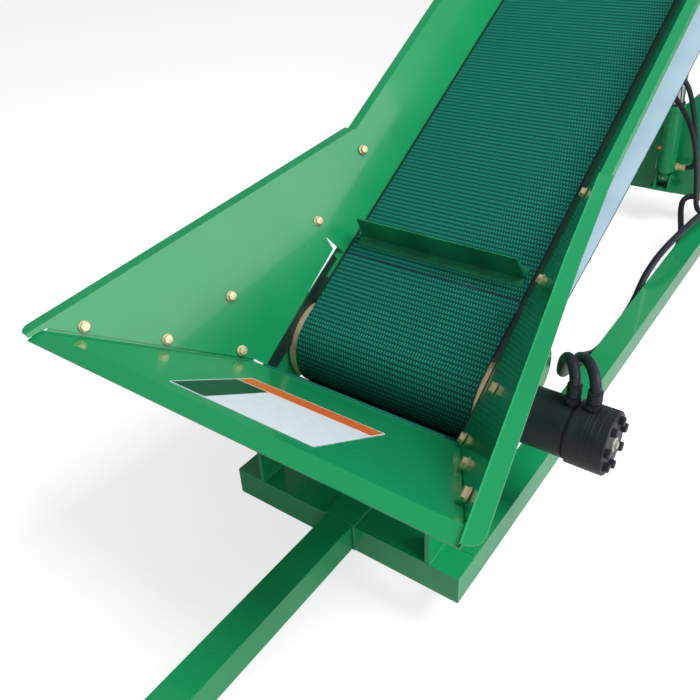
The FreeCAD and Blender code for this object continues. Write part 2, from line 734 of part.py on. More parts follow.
def make_floor():
    """Sloping hopper floor with its turned-down front lip and the side flanges that the wings
    bolt to."""
    def half_at(along, rise):
        out = "((wing_fold - (%s)) * sin(wing_flare) + wing_thick) / cos(splay)" % along
        return "(wall_base_x + (%s) * tan(splay) + %s)" % (rise, out)
    rear = half_at("floor_along", "floor_rise")
    crease_a = "(floor_along - floor_length * cos(floor_angle))"
    crease_h = "(floor_rise + floor_length * sin(floor_angle))"
    front = half_at(crease_a, crease_h)
    frame = chain(BOOM, move("0", "floor_along", "floor_rise"), turn(X_AXIS, "-floor_angle"),
                  move("0", "0", "-floor_thick"))
    mitre = "(floor_thick * tan(lip_bend / 2))"
    ahead = "-(floor_length + %s)" % mitre
    panel = plate("floor_panel", frame, [
        ("-" + rear, "0"), (rear, "0"), (front, ahead), ("-" + front, ahead)], "floor_thick")
    lip = box("floor_lip", chain(frame, move("0", "-floor_length", "0"), turn(X_AXIS, "lip_bend"),
                                 move("-(%s + lip_overhang)" % front, "-lip_length", "0")),
              "2 * (%s + lip_overhang)" % front, "lip_length + " + mitre, "floor_thick")
    joint = "floor_along + wing_joint_back - wing_fold"
    run = "(wing_crease - floor_along - wing_joint_back)"
    rise = "(wing_crease_w - wing_joint_w)"
    length = "sqrt(%s * %s + %s * %s)" % (run, run, rise, rise)
    lean = "atan2(%s; %s)" % (rise, run)
    edge = chain(FRONT_WALL, move(joint, "wing_joint_w", "0"), turn(Z_AXIS, lean))
    flange = plate("floor_flange_right", edge, [
        ("0", "flange_rise"), (length, "flange_rise"), (length, "0"),
        (length + " - flange_trim", "-floor_flange"),
        ("flange_nose", "-floor_flange"), ("0", "-floor_flange + flange_nose")], "wing_thick")
    other = mirrored("floor_flange_left", flange)
    keep(fuse("floor_solid", panel, lip, flange, other), "hopper_floor")


def make_drums():
    for name, along, label in (("drive", "drum_along", "drive_drum"), ("head", HEAD, "head_drum")):
        frame = chain(BOOM, move("0", along, SHAFT_H))
        r, w, half, deep = "drum_radius", "drum_wall", "drum_half", "(drum_half - drum_recess)"
        shaft = "shaft_radius"
        end = "(%s + side_plate_thick + shaft_end)" % PLATE_X
        solid = turned(name + "_shell", frame, [
            ("-" + end, "0"), ("-" + end, shaft), ("-" + deep, shaft), ("-" + deep, r + " - " + w),
            ("-" + half, r + " - " + w), ("-" + half, r), (half, r), (half, r + " - " + w),
            (deep, r + " - " + w), (deep, shaft), (end, shaft), (end, "0")])
        hollow = turned(name + "_hollow", frame, [
            ("-%s + %s" % (deep, w), shaft), ("-%s + %s" % (deep, w), r + " - " + w),
            ("%s - %s" % (deep, w), r + " - " + w), ("%s - %s" % (deep, w), shaft)])
        vent = rod(name + "_vent", chain(frame, move("-" + half, "drum_radius / 2", "0"),
                                         turn(Y_AXIS, "90")), "vent_radius",
                   "2 * drum_half")
        keep(cut(name + "_cut", solid, fuse(name + "_inside", hollow, vent)), label)


def make_head():
    """Head plates with their drum bearings, which slide for belt tension."""
    drop = "(-(%s + side_plate_drop))" % OUTER
    nose = "%s + head_plate_nose" % HEAD
    outline = [("%s - head_plate_start" % HEAD, "-(rail_depth + sheet_thick)"),
               ("%s - head_plate_taper" % HEAD, drop), ("%s + head_plate_heel" % HEAD, drop),
               (nose, "%s + head_chamfer" % drop), (nose, "-head_nose_rise"),
               ("%s + head_chamfer" % HEAD, "-(belt_thick - sheet_thick)"),
               ("%s - head_plate_start" % HEAD, "-(belt_thick - sheet_thick)")]
    for side, name in ((-1, "left"), (1, "right")):
        x = PLATE_X if side > 0 else "-(%s + side_plate_thick)" % PLATE_X
        body = plate("head_plate_%s_body" % name, chain(BOOM, move(x, "0", "0"), SIDE), outline,
                     "side_plate_thick")
        shaft = hole_through("head_hole_" + name, HEAD, SHAFT_H, "shaft_radius + fit")
        keep(cut("head_plate_%s_cut" % name, body, shaft), "head_plate_" + name)
    blocks = []
    seats = (("head_left", -1, HEAD), ("head_right", 1, HEAD), ("drive_left", -1, "drum_along"))
    for name, side, along in seats:
        out = "(%s + side_plate_thick)" % PLATE_X
        x = out if side > 0 else "-(%s + bearing_thick)" % out
        flange = rod("bearing_%s" % name, chain(BOOM, move(x, along, SHAFT_H), turn(Y_AXIS, "90")),
                     "bearing_radius", "bearing_thick")
        bore = rod("bearing_bore_%s" % name, chain(BOOM, move(x + " - over", along, SHAFT_H),
                                                   turn(Y_AXIS, "90")), "shaft_radius + fit",
                   "bearing_thick + 2 * over")
        blocks.append(cut("bearing_%s_cut" % name, flange, bore))
    compound = doc.addObject("Part::Compound", "bearing_set")
    compound.Links = blocks
    keep(compound, "drum_bearings")


def belt_loop():
    """The belt as one loop: flat carrying run, wraps round both drums and a sagging return run,
    with cleats standing on its outer face."""
    outer = size("drum_radius") + size("belt_thick")
    inner = size("drum_radius") + size("belt_play")
    a0 = size("drum_along")
    a1 = a0 + size("drum_spacing")
    sag, span = size("belt_sag"), size("drum_spacing")
    middle = (a0 + a1) / 2
    swing = (span * span / 4 + sag * sag) / (2 * sag)
    centre_h = -outer + (swing - sag)
    lean = math.asin(span / 2 / swing)

    def loop(radius):
        top = radius - outer
        low0 = (a0 - radius * math.sin(lean), -outer - radius * math.cos(lean))
        low1 = (a1 + radius * math.sin(lean), -outer - radius * math.cos(lean))
        dip = (middle, centre_h - swing - radius)

        def at(a, rise):
            return FreeCAD.Vector(0, a, rise)

        front = at(a0 - radius, -outer)
        rear = at(a1 + radius, -outer)
        edges = [Part.LineSegment(at(a0, top), at(a1, top)).toShape(),
                 Part.Arc(at(a1, top), rear, at(*low1)).toShape(),
                 Part.Arc(at(*low1), at(*dip), at(*low0)).toShape(),
                 Part.Arc(at(*low0), front, at(a0, top)).toShape()]
        return Part.Face(Part.Wire(edges))

    wide = size("belt_width")
    band = loop(outer).cut(loop(inner)).extrude(FreeCAD.Vector(wide, 0, 0))
    band.translate(FreeCAD.Vector(-wide / 2, 0, 0))
    total = span + 2 * (math.pi - lean) * outer + 2 * lean * (swing + outer)
    count = int(size("cleat_pitch_count"))
    pitch = total / count
    solids = [band]
    for i in range(count):
        run = size("cleat_first") + i * pitch
        solids.append(cleat_at(run % total, a0, a1, outer, lean, swing, centre_h, middle))
    shape = solids[0]
    for solid in solids[1:]:
        shape = shape.fuse(solid)
    return shape


def cleat_at(run, a0, a1, outer, lean, swing, centre_h, middle):
    """One cleat, run millimetres along the belt's outer face from the drive drum's top."""
    wide, high = size("cleat_width"), size("cleat_height")
    thick, foot = size("cleat_thick"), size("cleat_foot")
    root, slant = size("cleat_root"), size("cleat_slant")
    half = wide / 2
    corners = [(-half, -root), (half, -root), (half, 0), (half - slant, high), (slant - half, high),
               (-half, 0)]
    web = prism([FreeCAD.Vector(x, -thick / 2, z) for x, z in corners], FreeCAD.Vector(0, thick, 0))
    base = Part.makeBox(wide, foot, thick, FreeCAD.Vector(-half, thick / 2 - foot, -root))
    lug = web.fuse(base)
    flat = a1 - a0
    turn_arc = (math.pi - lean) * outer
    if run < flat:
        angle, where = 0.0, FreeCAD.Vector(0, a0 + run, 0)
    elif run < flat + turn_arc:
        turned_by = (run - flat) / outer
        angle = -turned_by
        where = FreeCAD.Vector(0, a1 + outer * math.sin(turned_by), -outer + outer * math.cos(turned_by))
    else:
        radius = swing + outer
        left = run - flat - turn_arc
        swept = lean - left / radius
        if swept > -lean:
            angle = -(math.pi - swept)
            where = FreeCAD.Vector(0, middle + radius * math.sin(swept), centre_h - radius * math.cos(swept))
        else:
            rest = (left - 2 * lean * radius) / outer
            turned_by = math.pi + lean + rest
            angle = -turned_by
            where = FreeCAD.Vector(0, a0 + outer * math.sin(turned_by), -outer + outer * math.cos(turned_by))
    lug.rotate(FreeCAD.Vector(0, 0, 0), FreeCAD.Vector(1, 0, 0), math.degrees(angle))
    lug.translate(where)
    return lug


def make_belt():
    belt = doc.addObject("Part::Feature", "belt")
    belt.Shape = belt_loop()
    place(belt, BOOM)
    keep(belt, "conveyor_belt")


def make_motor():
    """Hydraulic drive motor on the right side plate, in line with the drum shaft."""
    x0 = "(%s + side_plate_thick)" % PLATE_X
    frame = chain(BOOM, move(x0, "drum_along", SHAFT_H))
    bore = "(shaft_radius + fit)"
    groove = "(motor_flange + motor_length - motor_groove)"
    body = turned("motor_body", frame, [
        ("0", bore), ("motor_socket", bore), ("motor_socket", "0"), ("motor_flange + motor_length", "0"),
        ("motor_flange + motor_length", "motor_radius - motor_waist"),
        (groove, "motor_radius - motor_waist"), (groove, "motor_radius - motor_step"),
        ("motor_flange", "motor_radius - motor_step"),
        ("motor_flange", "motor_radius + motor_flange_lip"), ("0", "motor_radius + motor_flange_lip")])
    housing = keep(fuse("motor_solid", body, *make_port("first")), "motor_housing")
    start = "(motor_flange + motor_length)"
    end = "(%s + motor_cap_length)" % start
    lid = turned("motor_cap_body", frame, [
        (start, "0"), (start, "motor_radius"), (end + " - motor_relief", "motor_radius"),
        (end, "motor_radius - motor_relief"), (end, "0")])
    cap = keep(fuse("motor_cap_solid", lid, *make_port("second")), "motor_end_cap")
    return housing, cap


def make_port(name):
    """Round boss and fitting of one hose port, standing straight up from the motor."""
    frame = chain(BOOM, move("port_%s_x" % name, "drum_along", SHAFT_H),
                  turn(X_AXIS, "port_angle - 90"))
    return (rod("boss_" + name, chain(frame, move("0", "0", "motor_radius / 2")), "port_boss",
                "port_boss_reach - motor_radius / 2"),
            rod("port_" + name, chain(frame, move("0", "0", "port_boss_reach - over")),
                "fitting_radius", "port_stub + over"))


def make_saddle():
    """Hangers that reach round the return belt, the tube between them and the lift lugs."""
    low = "(-saddle_drop)"
    parts = []
    for side, name in ((-1, "left"), (1, "right")):
        x = PLATE_X if side > 0 else "-(%s + side_plate_thick)" % PLATE_X
        parts.append(plate("hanger_" + name, chain(BOOM, move(x, "0", "0"), SIDE), [
            ("saddle_along - saddle_foot", "-(belt_thick - sheet_thick)"),
            ("saddle_along - saddle_foot", "-(rail_depth + sheet_thick)"),
            ("saddle_along - saddle_width / 2", low),
            ("saddle_along - saddle_width / 2", low + " - saddle_tube"),
            ("saddle_along + saddle_width / 2", low + " - saddle_tube"),
            ("saddle_along + saddle_width / 2", low),
            ("saddle_along + saddle_foot", "-(rail_depth + sheet_thick)"),
            ("saddle_along + saddle_foot", "-(belt_thick - sheet_thick)")], "side_plate_thick"))
    tube = box("saddle_tube_bar", chain(BOOM, move("-" + PLATE_X, "saddle_along - saddle_tube / 2",
                                                   low + " - saddle_tube")),
               "2 * " + PLATE_X, "saddle_tube", "saddle_tube")
    parts.append(tube)
    eye_h = "(%s - saddle_tube - lift_eye_drop)" % low
    for side, name in ((-1, "left"), (1, "right")):
        x = "lug_gap / 2" if side > 0 else "-(lug_gap / 2 + lug_thick)"
        parts.append(plate("lift_lug_" + name, chain(BOOM, move(x, "0", "0"), SIDE), [
            ("saddle_along - lift_eye_radius", low + " - saddle_tube"),
            ("saddle_along - lift_eye_radius", eye_h + " - lug_shoulder"),
            ("saddle_along - lift_eye_radius + lug_corner", eye_h + " - lift_eye_radius + lug_trim"),
            ("saddle_along + lift_eye_radius - lug_corner", eye_h + " - lift_eye_radius + lug_trim"),
            ("saddle_along + lift_eye_radius", eye_h + " - lug_shoulder"),
            ("saddle_along + lift_eye_radius", low + " - saddle_tube")], "lug_thick"))
    reach = "(lug_gap / 2 + lug_thick + lift_pin_end)"
    pin = rod("lift_pin", chain(BOOM, move("-" + reach, "saddle_along", eye_h), turn(Y_AXIS, "90")),
              "lift_pin_radius", "2 * " + reach)
    keep(fuse("saddle_solid", *parts, pin), "lift_saddle")


# ---------------------------------------------------------------- lift
EYE_A = "saddle_along"
EYE_H = "(-saddle_drop - saddle_tube - lift_eye_drop)"
EYE_Y = "(%s * cos(incline) - %s * sin(incline))" % (EYE_A, EYE_H)
EYE_Z = "(belt_height + %s * sin(incline) + %s * cos(incline))" % (EYE_A, EYE_H)
LIFT_RUN = "(%s - %s)" % (EYE_Y, LIFT_FOOT_Y)
LIFT_RISE = "(%s - lift_foot_z)" % EYE_Z
LIFT_LENGTH = "sqrt(%s * %s + %s * %s)" % (LIFT_RUN, LIFT_RUN, LIFT_RISE, LIFT_RISE)
LIFT = chain(BASE, move("0", LIFT_FOOT_Y, "lift_foot_z"),
             turn(X_AXIS, "-atan(%s / %s)" % (LIFT_RUN, LIFT_RISE)))
LIFT_OPEN = "(%s - barrel_foot - 3 * stage_step - stage_length - lift_neck)" % LIFT_LENGTH


def make_lift():
    """Telescopic lift cylinder: barrel, two stages and a rod with the eye that takes the lift
    pin. Each stage is out by the same share of the opening."""
    share = "(%s / 3)" % LIFT_OPEN
    side = "(lug_gap / 2 - lift_eye_gap)"
    eye = rod("barrel_eye", chain(LIFT, move("-" + side, "0", "0"), turn(Y_AXIS, "90")),
              "lift_eye_radius", "2 * " + side)
    neck = rod("barrel_neck", LIFT, "lug_gap / 2 - neck_clear", "barrel_foot")
    shell = rod("barrel_shell", chain(LIFT, move("0", "0", "lift_eye_radius + neck_step")),
                "barrel_radius", "barrel_foot + stage_length - lift_eye_radius - neck_step")
    fitting = rod("barrel_fitting", chain(LIFT, move("barrel_radius - stage_wall + over", "0",
                                                     "barrel_port"), turn(Y_AXIS, "90")),
                  "fitting_radius", "barrel_port_reach - barrel_radius + stage_wall - over")
    bore = rod("barrel_bore", chain(LIFT, move("0", "0", "barrel_foot")), "barrel_radius - stage_wall",
               "stage_length + over")
    drill = move("-drill / 2", "0", "0")
    pin_hole = rod("barrel_pin_hole", chain(LIFT, drill, turn(Y_AXIS, "90")), "lift_pin_radius + fit",
                   "drill")
    solid = cut("barrel_open", fuse("barrel_solid", eye, neck, shell, fitting), bore)
    barrel = keep(cut("barrel_cut", solid, pin_hole), "lift_barrel")
    radius = "(barrel_radius - stage_wall - stage_clearance)"
    for number, name in ((1, "lift_stage_one"), (2, "lift_stage_two")):
        start = "(barrel_foot + %d * stage_step + %d * %s)" % (number, number, share)
        tube = rod("stage_%d_tube" % number, chain(LIFT, move("0", "0", start)), radius, "stage_length")
        inside = rod("stage_%d_bore" % number, chain(LIFT, move("0", "0", start + " + stage_floor")),
                     radius + " - stage_wall", "stage_length")
        keep(cut("stage_%d_cut" % number, tube, inside), name)
        radius = "(%s - stage_wall - stage_clearance)" % radius
    start = "(barrel_foot + 3 * stage_step + 3 * %s)" % share
    stem = rod("lift_stem", chain(LIFT, move("0", "0", start)), radius, "%s - %s" % (LIFT_LENGTH, start))
    head = rod("lift_head", chain(LIFT, move("-" + side, "0", LIFT_LENGTH), turn(Y_AXIS, "90")),
               "lift_eye_radius", "2 * " + side)
    eye_hole = rod("lift_eye_hole", chain(LIFT, drill, move("0", "0", LIFT_LENGTH), turn(Y_AXIS, "90")),
                   "lift_pin_radius + lift_pin_play", "drill")
    keep(cut("lift_rod_cut", fuse("lift_rod_solid", stem, head), eye_hole), "lift_rod")
    return barrel


def make_lift_foot():
    """Foot bracket on the rear beam that carries the lift cylinder's lower pin, and the two
    cradle posts that the lowered boom stands between."""
    rear = "(base_length - base_tube)"
    parts = [box("foot_plate", chain(BASE, move("-foot_half", rear + " - foot_reach", "foot_low")),
                 "2 * foot_half", "foot_reach", "foot_thick")]
    for side, name in ((-1, "left"), (1, "right")):
        x = "lug_gap / 2" if side > 0 else "-(lug_gap / 2 + lug_thick)"
        parts.append(plate("foot_lug_" + name, chain(BASE, move(x, "0", "0"), SIDE), [
            (rear + " - foot_reach", "foot_low"), (rear, "foot_low"), (rear, "base_tube"),
            (LIFT_FOOT_Y + " + lift_eye_radius", "lift_foot_z + foot_shoulder"),
            (LIFT_FOOT_Y + " + lug_corner", "lift_foot_z + lift_eye_radius"),
            (LIFT_FOOT_Y + " - lug_corner", "lift_foot_z + lift_eye_radius"),
            (LIFT_FOOT_Y + " - lift_eye_radius", "lift_foot_z + foot_trim")], "lug_thick"))
    reach = "(lug_gap / 2 + lug_thick + lift_pin_end)"
    pin = rod("foot_pin", chain(BASE, move("-" + reach, LIFT_FOOT_Y, "lift_foot_z"), turn(Y_AXIS, "90")),
              "lift_pin_radius", "2 * " + reach)
    keep(fuse("foot_solid", *parts, pin), "lift_foot")
    outer_x = "(%s + cradle_width)" % CRADLE_X
    frame = chain(BASE, move("0", rear + " + cradle_thick", "0"), SECTION)
    right = plate("cradle_plate", frame, [
        (CRADLE_X, "base_tube"), (outer_x, "base_tube"), (outer_x, "cradle_high"),
        (CRADLE_X, "cradle_low")], "cradle_thick")
    depth = "(base_tube - cradle_setback)"
    inner = box("cradle_inner_wall", chain(BASE, move(CRADLE_X, rear, "base_tube")),
                "cradle_thick", depth, "cradle_low - base_tube")
    outer = box("cradle_outer_wall", chain(BASE, move(outer_x + " - cradle_thick", rear, "base_tube")),
                "cradle_thick", depth, "cradle_high - base_tube")
    slope = "atan((cradle_high - cradle_low) / cradle_width)"
    top = box("cradle_top", chain(BASE, move(CRADLE_X, rear, "cradle_low - cradle_thick"),
                                  turn(Y_AXIS, "-" + slope)),
              "cradle_width / cos(%s)" % slope, depth, "cradle_thick")
    right_box = fuse("cradle_right", right, inner, outer, top)
    gusset = plate("cradle_gusset", frame, [
        ("-gusset_reach", "base_tube"), (CRADLE_X, "base_tube"), (CRADLE_X, "cradle_low"),
        ("gusset_bend_x", "gusset_bend_z"), ("-gusset_reach", "gusset_low")], "cradle_thick")
    keep(fuse("cradle_right_full", right_box, gusset), "cradle_post_right")
    keep(mirrored("cradle_left", right_box), "cradle_post_left")


# ---------------------------------------------------------------- hydraulics
def make_valve():
    """Control valve on the right side tube: base plate, block, fittings and hand lever."""
    inner = "(base_half_width - base_tube)"
    side = "(%s + (base_tube - valve_width) / 2)" % inner
    low = "(base_tube + valve_plate)"
    base = box("valve_base", chain(BASE, move(inner + " + valve_margin", VALVE_Y + " - valve_margin",
                                              "base_tube")),
               "base_tube - 2 * valve_margin", "valve_length + 2 * valve_margin", "valve_plate")
    block = box("valve_block", chain(BASE, move(side, VALVE_Y, low)), "valve_width",
                "valve_length", "valve_height")
    parts = [base, block]
    for number, (across, up) in enumerate((("valve_port_inner", "valve_port_low"),
                                           ("valve_port_outer", "valve_port_high"))):
        parts.append(rod("valve_port_%d" % number,
                         chain(BASE, move("%s + %s" % (side, across), VALVE_Y + " + over",
                                          "%s + %s" % (low, up)), turn(X_AXIS, "90")),
                         "fitting_radius", "valve_fitting + over"))
    parts.append(rod("valve_side_port",
                     chain(BASE, move(side + " + over", VALVE_Y + " + valve_length - valve_port_low",
                                      low + " + valve_port_low"), turn(Y_AXIS, "-90")),
                     "fitting_radius", "valve_fitting + over"))
    top = "(%s + valve_height)" % low
    at = "(%s + lever_along)" % VALVE_Y
    parts.append(rod("valve_lever", chain(BASE, move(side + " + valve_width / 2", at, top + " - over")),
                     "lever_radius", "lever_length"))
    knob = doc.addObject("Part::Sphere", "valve_knob")
    bind(knob, Radius="lever_knob")
    parts.append(place(knob, chain(BASE, move(side + " + valve_width / 2", at, top + " + lever_length"))))
    return keep(fuse("valve_solid", *parts), "control_valve")


# Corners of the hose routes in the base frame: across from the side tubes' inner face, back from
# the front of the crossbar and up from the underside of the tubes.
PRESSURE_ROUTE = ((234, 294, 486), (225, 303, 509), (206, 323, 522), (183, 348, 514), (164, 378, 491),
                  (151, 414, 464), (143, 452, 437), (134, 490, 409), (110, 560, 360), (82, 640, 303),
                  (52, 740, 234), (22, 840, 168), (-4, 920, 119), (-16, 995, 76), (-16, 1070, 38),
                  (-16, 1150, 14), (-16, 1260, 6), (-16, 1370, 9), (-16, 1450, 20), (-15, 1505, 38),
                  (-15, 1545, 66), (-12, 1582, 98), (-4, 1630, 128), (6, 1695, 152), (19, 1800, 167),
                  (35, 1960, 172), (47, 2080, 171), (54, 2170, 163), (56, 2236, 148))
RETURN_ROUTE = ((188, 294, 494), (174, 310, 516), (154, 332, 516), (140, 350, 494), (131, 367, 462),
                (124, 387, 433), (117, 414, 411), (112, 446, 394), (100, 490, 370), (76, 560, 322),
                (46, 645, 262), (18, 745, 195), (-6, 845, 130), (-20, 935, 76), (-25, 1010, 32),
                (-20, 1080, 0), (-16, 1160, -18), (-16, 1300, -22), (-16, 1500, -22),
                (-16, 1700, -21), (-16, 1900, -18), (-18, 2050, -10), (-26, 2140, 8), (-42, 2200, 34),
                (-62, 2250, 60), (-80, 2300, 84), (-90, 2345, 100), (-86, 2384, 109), (-66, 2410, 111),
                (-40, 2416, 110))
LIFT_NEAR = ((28, 2633, 155), (54, 2629, 161), (70, 2620, 184), (73, 2610, 222), (66, 2600, 278),
             (55, 2590, 335), (41, 2579, 401), (27, 2565, 461), (12, 2548, 516), (-6, 2532, 562),
             (-32, 2514, 594), (-62, 2492, 600), (-70, 2468, 580), (-56, 2452, 554), (-34, 2444, 532),
             (-10, 2434, 510), (16, 2420, 488))
LIFT_FAR = ((-148, 2396, 462), (-120, 2370, 432), (-94, 2344, 396), (-70, 2318, 352),
            (-50, 2292, 298), (-32, 2268, 240), (-18, 2242, 186), (-6, 2226, 142), (8, 2236, 116),
            (24, 2262, 110))


def run_of(corners):
    """A centre line of straight runs joined by tangent arcs, with the arcs' radii."""
    edges, radii = [], []
    last = corners[0]
    for before, corner, after in zip(corners, corners[1:], corners[2:]):
        inward, outward = corner - before, after - corner
        half_turn = inward.getAngle(outward) / 2
        setback = 0.45 * min(inward.Length, outward.Length)
        radius = setback / math.tan(half_turn)
        inward.normalize()
        outward.normalize()
        bisector = (outward - inward).normalize()
        start, end = corner - inward * setback, corner + outward * setback
        crown = corner + bisector * radius * (1 / math.cos(half_turn) - 1)
        edges.append(Part.LineSegment(last, start).toShape())
        edges.append(Part.Arc(start, crown, end).toShape())
        radii.append(radius)
        last = end
    edges.append(Part.LineSegment(last, corners[-1]).toShape())
    return Part.Wire(edges), radii


def hose_along(name, corners, radius):
    line, radii = run_of(corners)
    section = Part.Wire(Part.Circle(corners[0], corners[1] - corners[0], radius).toShape())
    tube = line.makePipeShell([section], True, False)
    expected = math.pi * radius * radius * line.Length
    print(name, "length", round(line.Length), "volume over section x length",
          round(tube.Volume / expected, 4), "radii", [round(item) for item in radii])
    return tube


def on_base(route, inner):
    """Route corners in the base frame's own coordinates, from an inner limit outwards."""
    stretch = size("base_length") / size("route_length")
    return [FreeCAD.Vector(inner + x, y * stretch, z) for x, y, z in route]


def keep_hose(shape, label, fitting=None):
    hose = doc.addObject("Part::Feature", label + "_tube")
    hose.Shape = shape
    place(hose, BASE)
    keep(cut(label + "_trimmed", hose, fitting) if fitting else hose, label)


def make_hoses(motor, valve, barrel):
    """Motor hoses from the boom to the frame, each in two lengths that meet over the side plate,
    and the lift cylinder's hose."""
    lean = math.radians(size("incline"))
    facing = math.radians(size("incline") + size("port_angle"))
    drop = size("drum_radius") + size("belt_thick")
    axis_y = size("drum_along") * math.cos(lean) + drop * math.sin(lean)
    axis_z = size("belt_height") + size("drum_along") * math.sin(lean) - drop * math.cos(lean)
    inner = size("base_half_width") - size("base_tube")
    side = inner + (size("base_tube") - size("valve_width")) / 2
    low = size("base_tube") + size("valve_plate")
    valve_y = size("base_length") - size("valve_setback")
    mouth = valve_y - size("valve_fitting")

    def port(x, reach):
        return FreeCAD.Vector(x, axis_y + reach * math.cos(facing), axis_z + reach * math.sin(facing))

    def from_motor(x):
        reach = size("port_boss_reach") + size("port_stub")
        return [port(x, reach), port(x, reach + size("port_rise"))]

    pressure = from_motor(size("port_second_x")) + on_base(PRESSURE_ROUTE, inner)
    pressure.append(FreeCAD.Vector(side + size("valve_port_outer"), mouth,
                                   low + size("valve_port_high")))
    back = from_motor(size("port_first_x")) + on_base(RETURN_ROUTE, inner)
    back.append(FreeCAD.Vector(side - size("valve_fitting"),
                               valve_y + size("valve_length") - size("valve_port_low"),
                               low + size("valve_port_low")))
    split, reach = size("hose_split"), size("drill")
    block = Part.makeBox(reach, size("hose_split_depth"), reach, FreeCAD.Vector(split, 0, 0))
    housing, cap = motor
    for name, corners, ported in (("hose_pressure", pressure, cap), ("hose_return", back, housing)):
        tube = hose_along(name, corners, size("hose_radius"))
        keep_hose(tube.common(block), name + "_boom", ported)
        keep_hose(tube.cut(block), name + "_frame", valve)
    foot_y = size("base_length") - size("base_tube") - size("lift_foot_inset")
    eye_a, eye_h = size("saddle_along"), size("saddle_drop") + size("saddle_tube") + size("lift_eye_drop")
    rise_y = eye_a * math.cos(lean) + eye_h * math.sin(lean) - foot_y
    rise_z = size("belt_height") + eye_a * math.sin(lean) - eye_h * math.cos(lean) - size("lift_foot_z")
    share = size("barrel_port") / math.hypot(rise_y, rise_z)
    start = FreeCAD.Vector(size("barrel_port_reach"), foot_y + rise_y * share,
                           size("lift_foot_z") + rise_z * share)
    lift = [start] + on_base(LIFT_NEAR, size("barrel_port_reach")) + on_base(LIFT_FAR, inner)
    lift.append(FreeCAD.Vector(side + size("valve_port_inner"), mouth, low + size("valve_port_low")))
    tube = hose_along("hose_lift", lift, size("lift_hose_radius"))
    split = size("lift_hose_split")
    block = Part.makeBox(split, reach, size("base_tube") * 3, FreeCAD.Vector(0, foot_y - reach / 2, 0))
    keep_hose(tube.common(block), "hose_lift_barrel", barrel)
    keep_hose(tube.cut(block), "hose_lift_frame", valve)


def make_all():
    make_base()
    make_uprights()
    make_hitch()
    make_jack()
    make_wheels()
    make_side_plates()
    make_rails()
    make_walls()
    make_wings()
    make_floor()
    make_drums()
    make_head()
    make_belt()
    motor = make_motor()
    make_saddle()
    barrel = make_lift()
    make_lift_foot()
    valve = make_valve()
    make_hoses(motor, valve, barrel)


def check_and_write():
    doc.recompute()
    for thing in doc.Objects:
        if "Invalid" in thing.State or "Error" in thing.State:
            raise RuntimeError("%s did not compute: %s" % (thing.Name, thing.State))
    for thing in PARTS:
        if thing.Shape.isNull() or not thing.Shape.isValid():
            raise RuntimeError("%s has no valid shape" % thing.Label)
    os.makedirs("parts", exist_ok=True)
    for thing in PARTS:
        thing.Shape.exportStep("parts/%s.step" % thing.Label)
        print(thing.Label, "solids", len(thing.Shape.Solids), "volume", round(thing.Shape.Volume))


make_all()
check_and_write()
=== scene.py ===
import json
import math
import random

import bmesh
import bpy
from mathutils import Matrix, Vector


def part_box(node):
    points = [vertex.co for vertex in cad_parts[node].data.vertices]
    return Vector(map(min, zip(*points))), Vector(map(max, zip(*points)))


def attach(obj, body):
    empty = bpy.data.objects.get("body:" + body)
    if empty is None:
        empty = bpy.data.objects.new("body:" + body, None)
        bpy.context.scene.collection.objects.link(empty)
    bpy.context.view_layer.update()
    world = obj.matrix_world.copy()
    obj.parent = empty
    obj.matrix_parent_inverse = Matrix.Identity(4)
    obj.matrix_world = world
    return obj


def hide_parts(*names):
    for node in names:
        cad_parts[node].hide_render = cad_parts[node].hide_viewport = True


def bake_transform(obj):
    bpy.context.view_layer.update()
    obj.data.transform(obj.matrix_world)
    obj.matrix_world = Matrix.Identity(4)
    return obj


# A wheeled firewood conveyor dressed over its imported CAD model. Positions on the base frame are
# millimetres in the base's own axes: across, back from the crossbar's front, up from the tubes'
# underside. Positions on the boom are across, up the belt and off the belt.
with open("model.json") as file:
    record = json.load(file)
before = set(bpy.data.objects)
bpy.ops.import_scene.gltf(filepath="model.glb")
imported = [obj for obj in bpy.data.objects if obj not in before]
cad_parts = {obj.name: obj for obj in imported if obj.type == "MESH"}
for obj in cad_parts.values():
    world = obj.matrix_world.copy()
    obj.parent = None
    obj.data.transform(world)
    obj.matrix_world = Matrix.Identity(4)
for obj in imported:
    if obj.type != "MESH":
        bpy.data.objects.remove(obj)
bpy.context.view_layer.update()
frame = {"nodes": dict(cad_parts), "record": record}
nodes = frame["nodes"]

BASE_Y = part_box("front_crossbar")[0][1]
BASE_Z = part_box("front_crossbar")[0][2]
INCLINE = math.radians(30.0)
SPLAY = math.radians(28.2)
BELT_HEIGHT = 321.3
DRIVE_A = 272.0
HEAD_A = 4972.0
DRUM_H = -114.5
MOTOR_Y, MOTOR_Z = 292.806, 358.142
MOTOR_RADIUS = 74.0
MOTOR_END = 542.6
HOSE_RADIUS = 12.5
LIFT_HOSE_RADIUS = 11.0
WHEEL_X, AXLE_Y, AXLE_Z = 425, 2730, 40
LIFT_FOOT = (0, 2640, 95)
LIFT_EYE = (0, 2534.4, 1045.5)
HEX_CORNER = math.cos(math.pi / 6)


def base(x, y, z):
    return Vector((x / 1000.0, BASE_Y + y / 1000.0, BASE_Z + z / 1000.0))


def boom(x, along, rise):
    return base(x, along * math.cos(INCLINE) - rise * math.sin(INCLINE),
                BELT_HEIGHT + along * math.sin(INCLINE) + rise * math.cos(INCLINE))


X_DIR = Vector((1.0, 0.0, 0.0))
Z_DIR = Vector((0.0, 0.0, 1.0))
UP_BOOM = Vector((0.0, math.cos(INCLINE), math.sin(INCLINE)))
OFF_BELT = Vector((0.0, -math.sin(INCLINE), math.cos(INCLINE)))


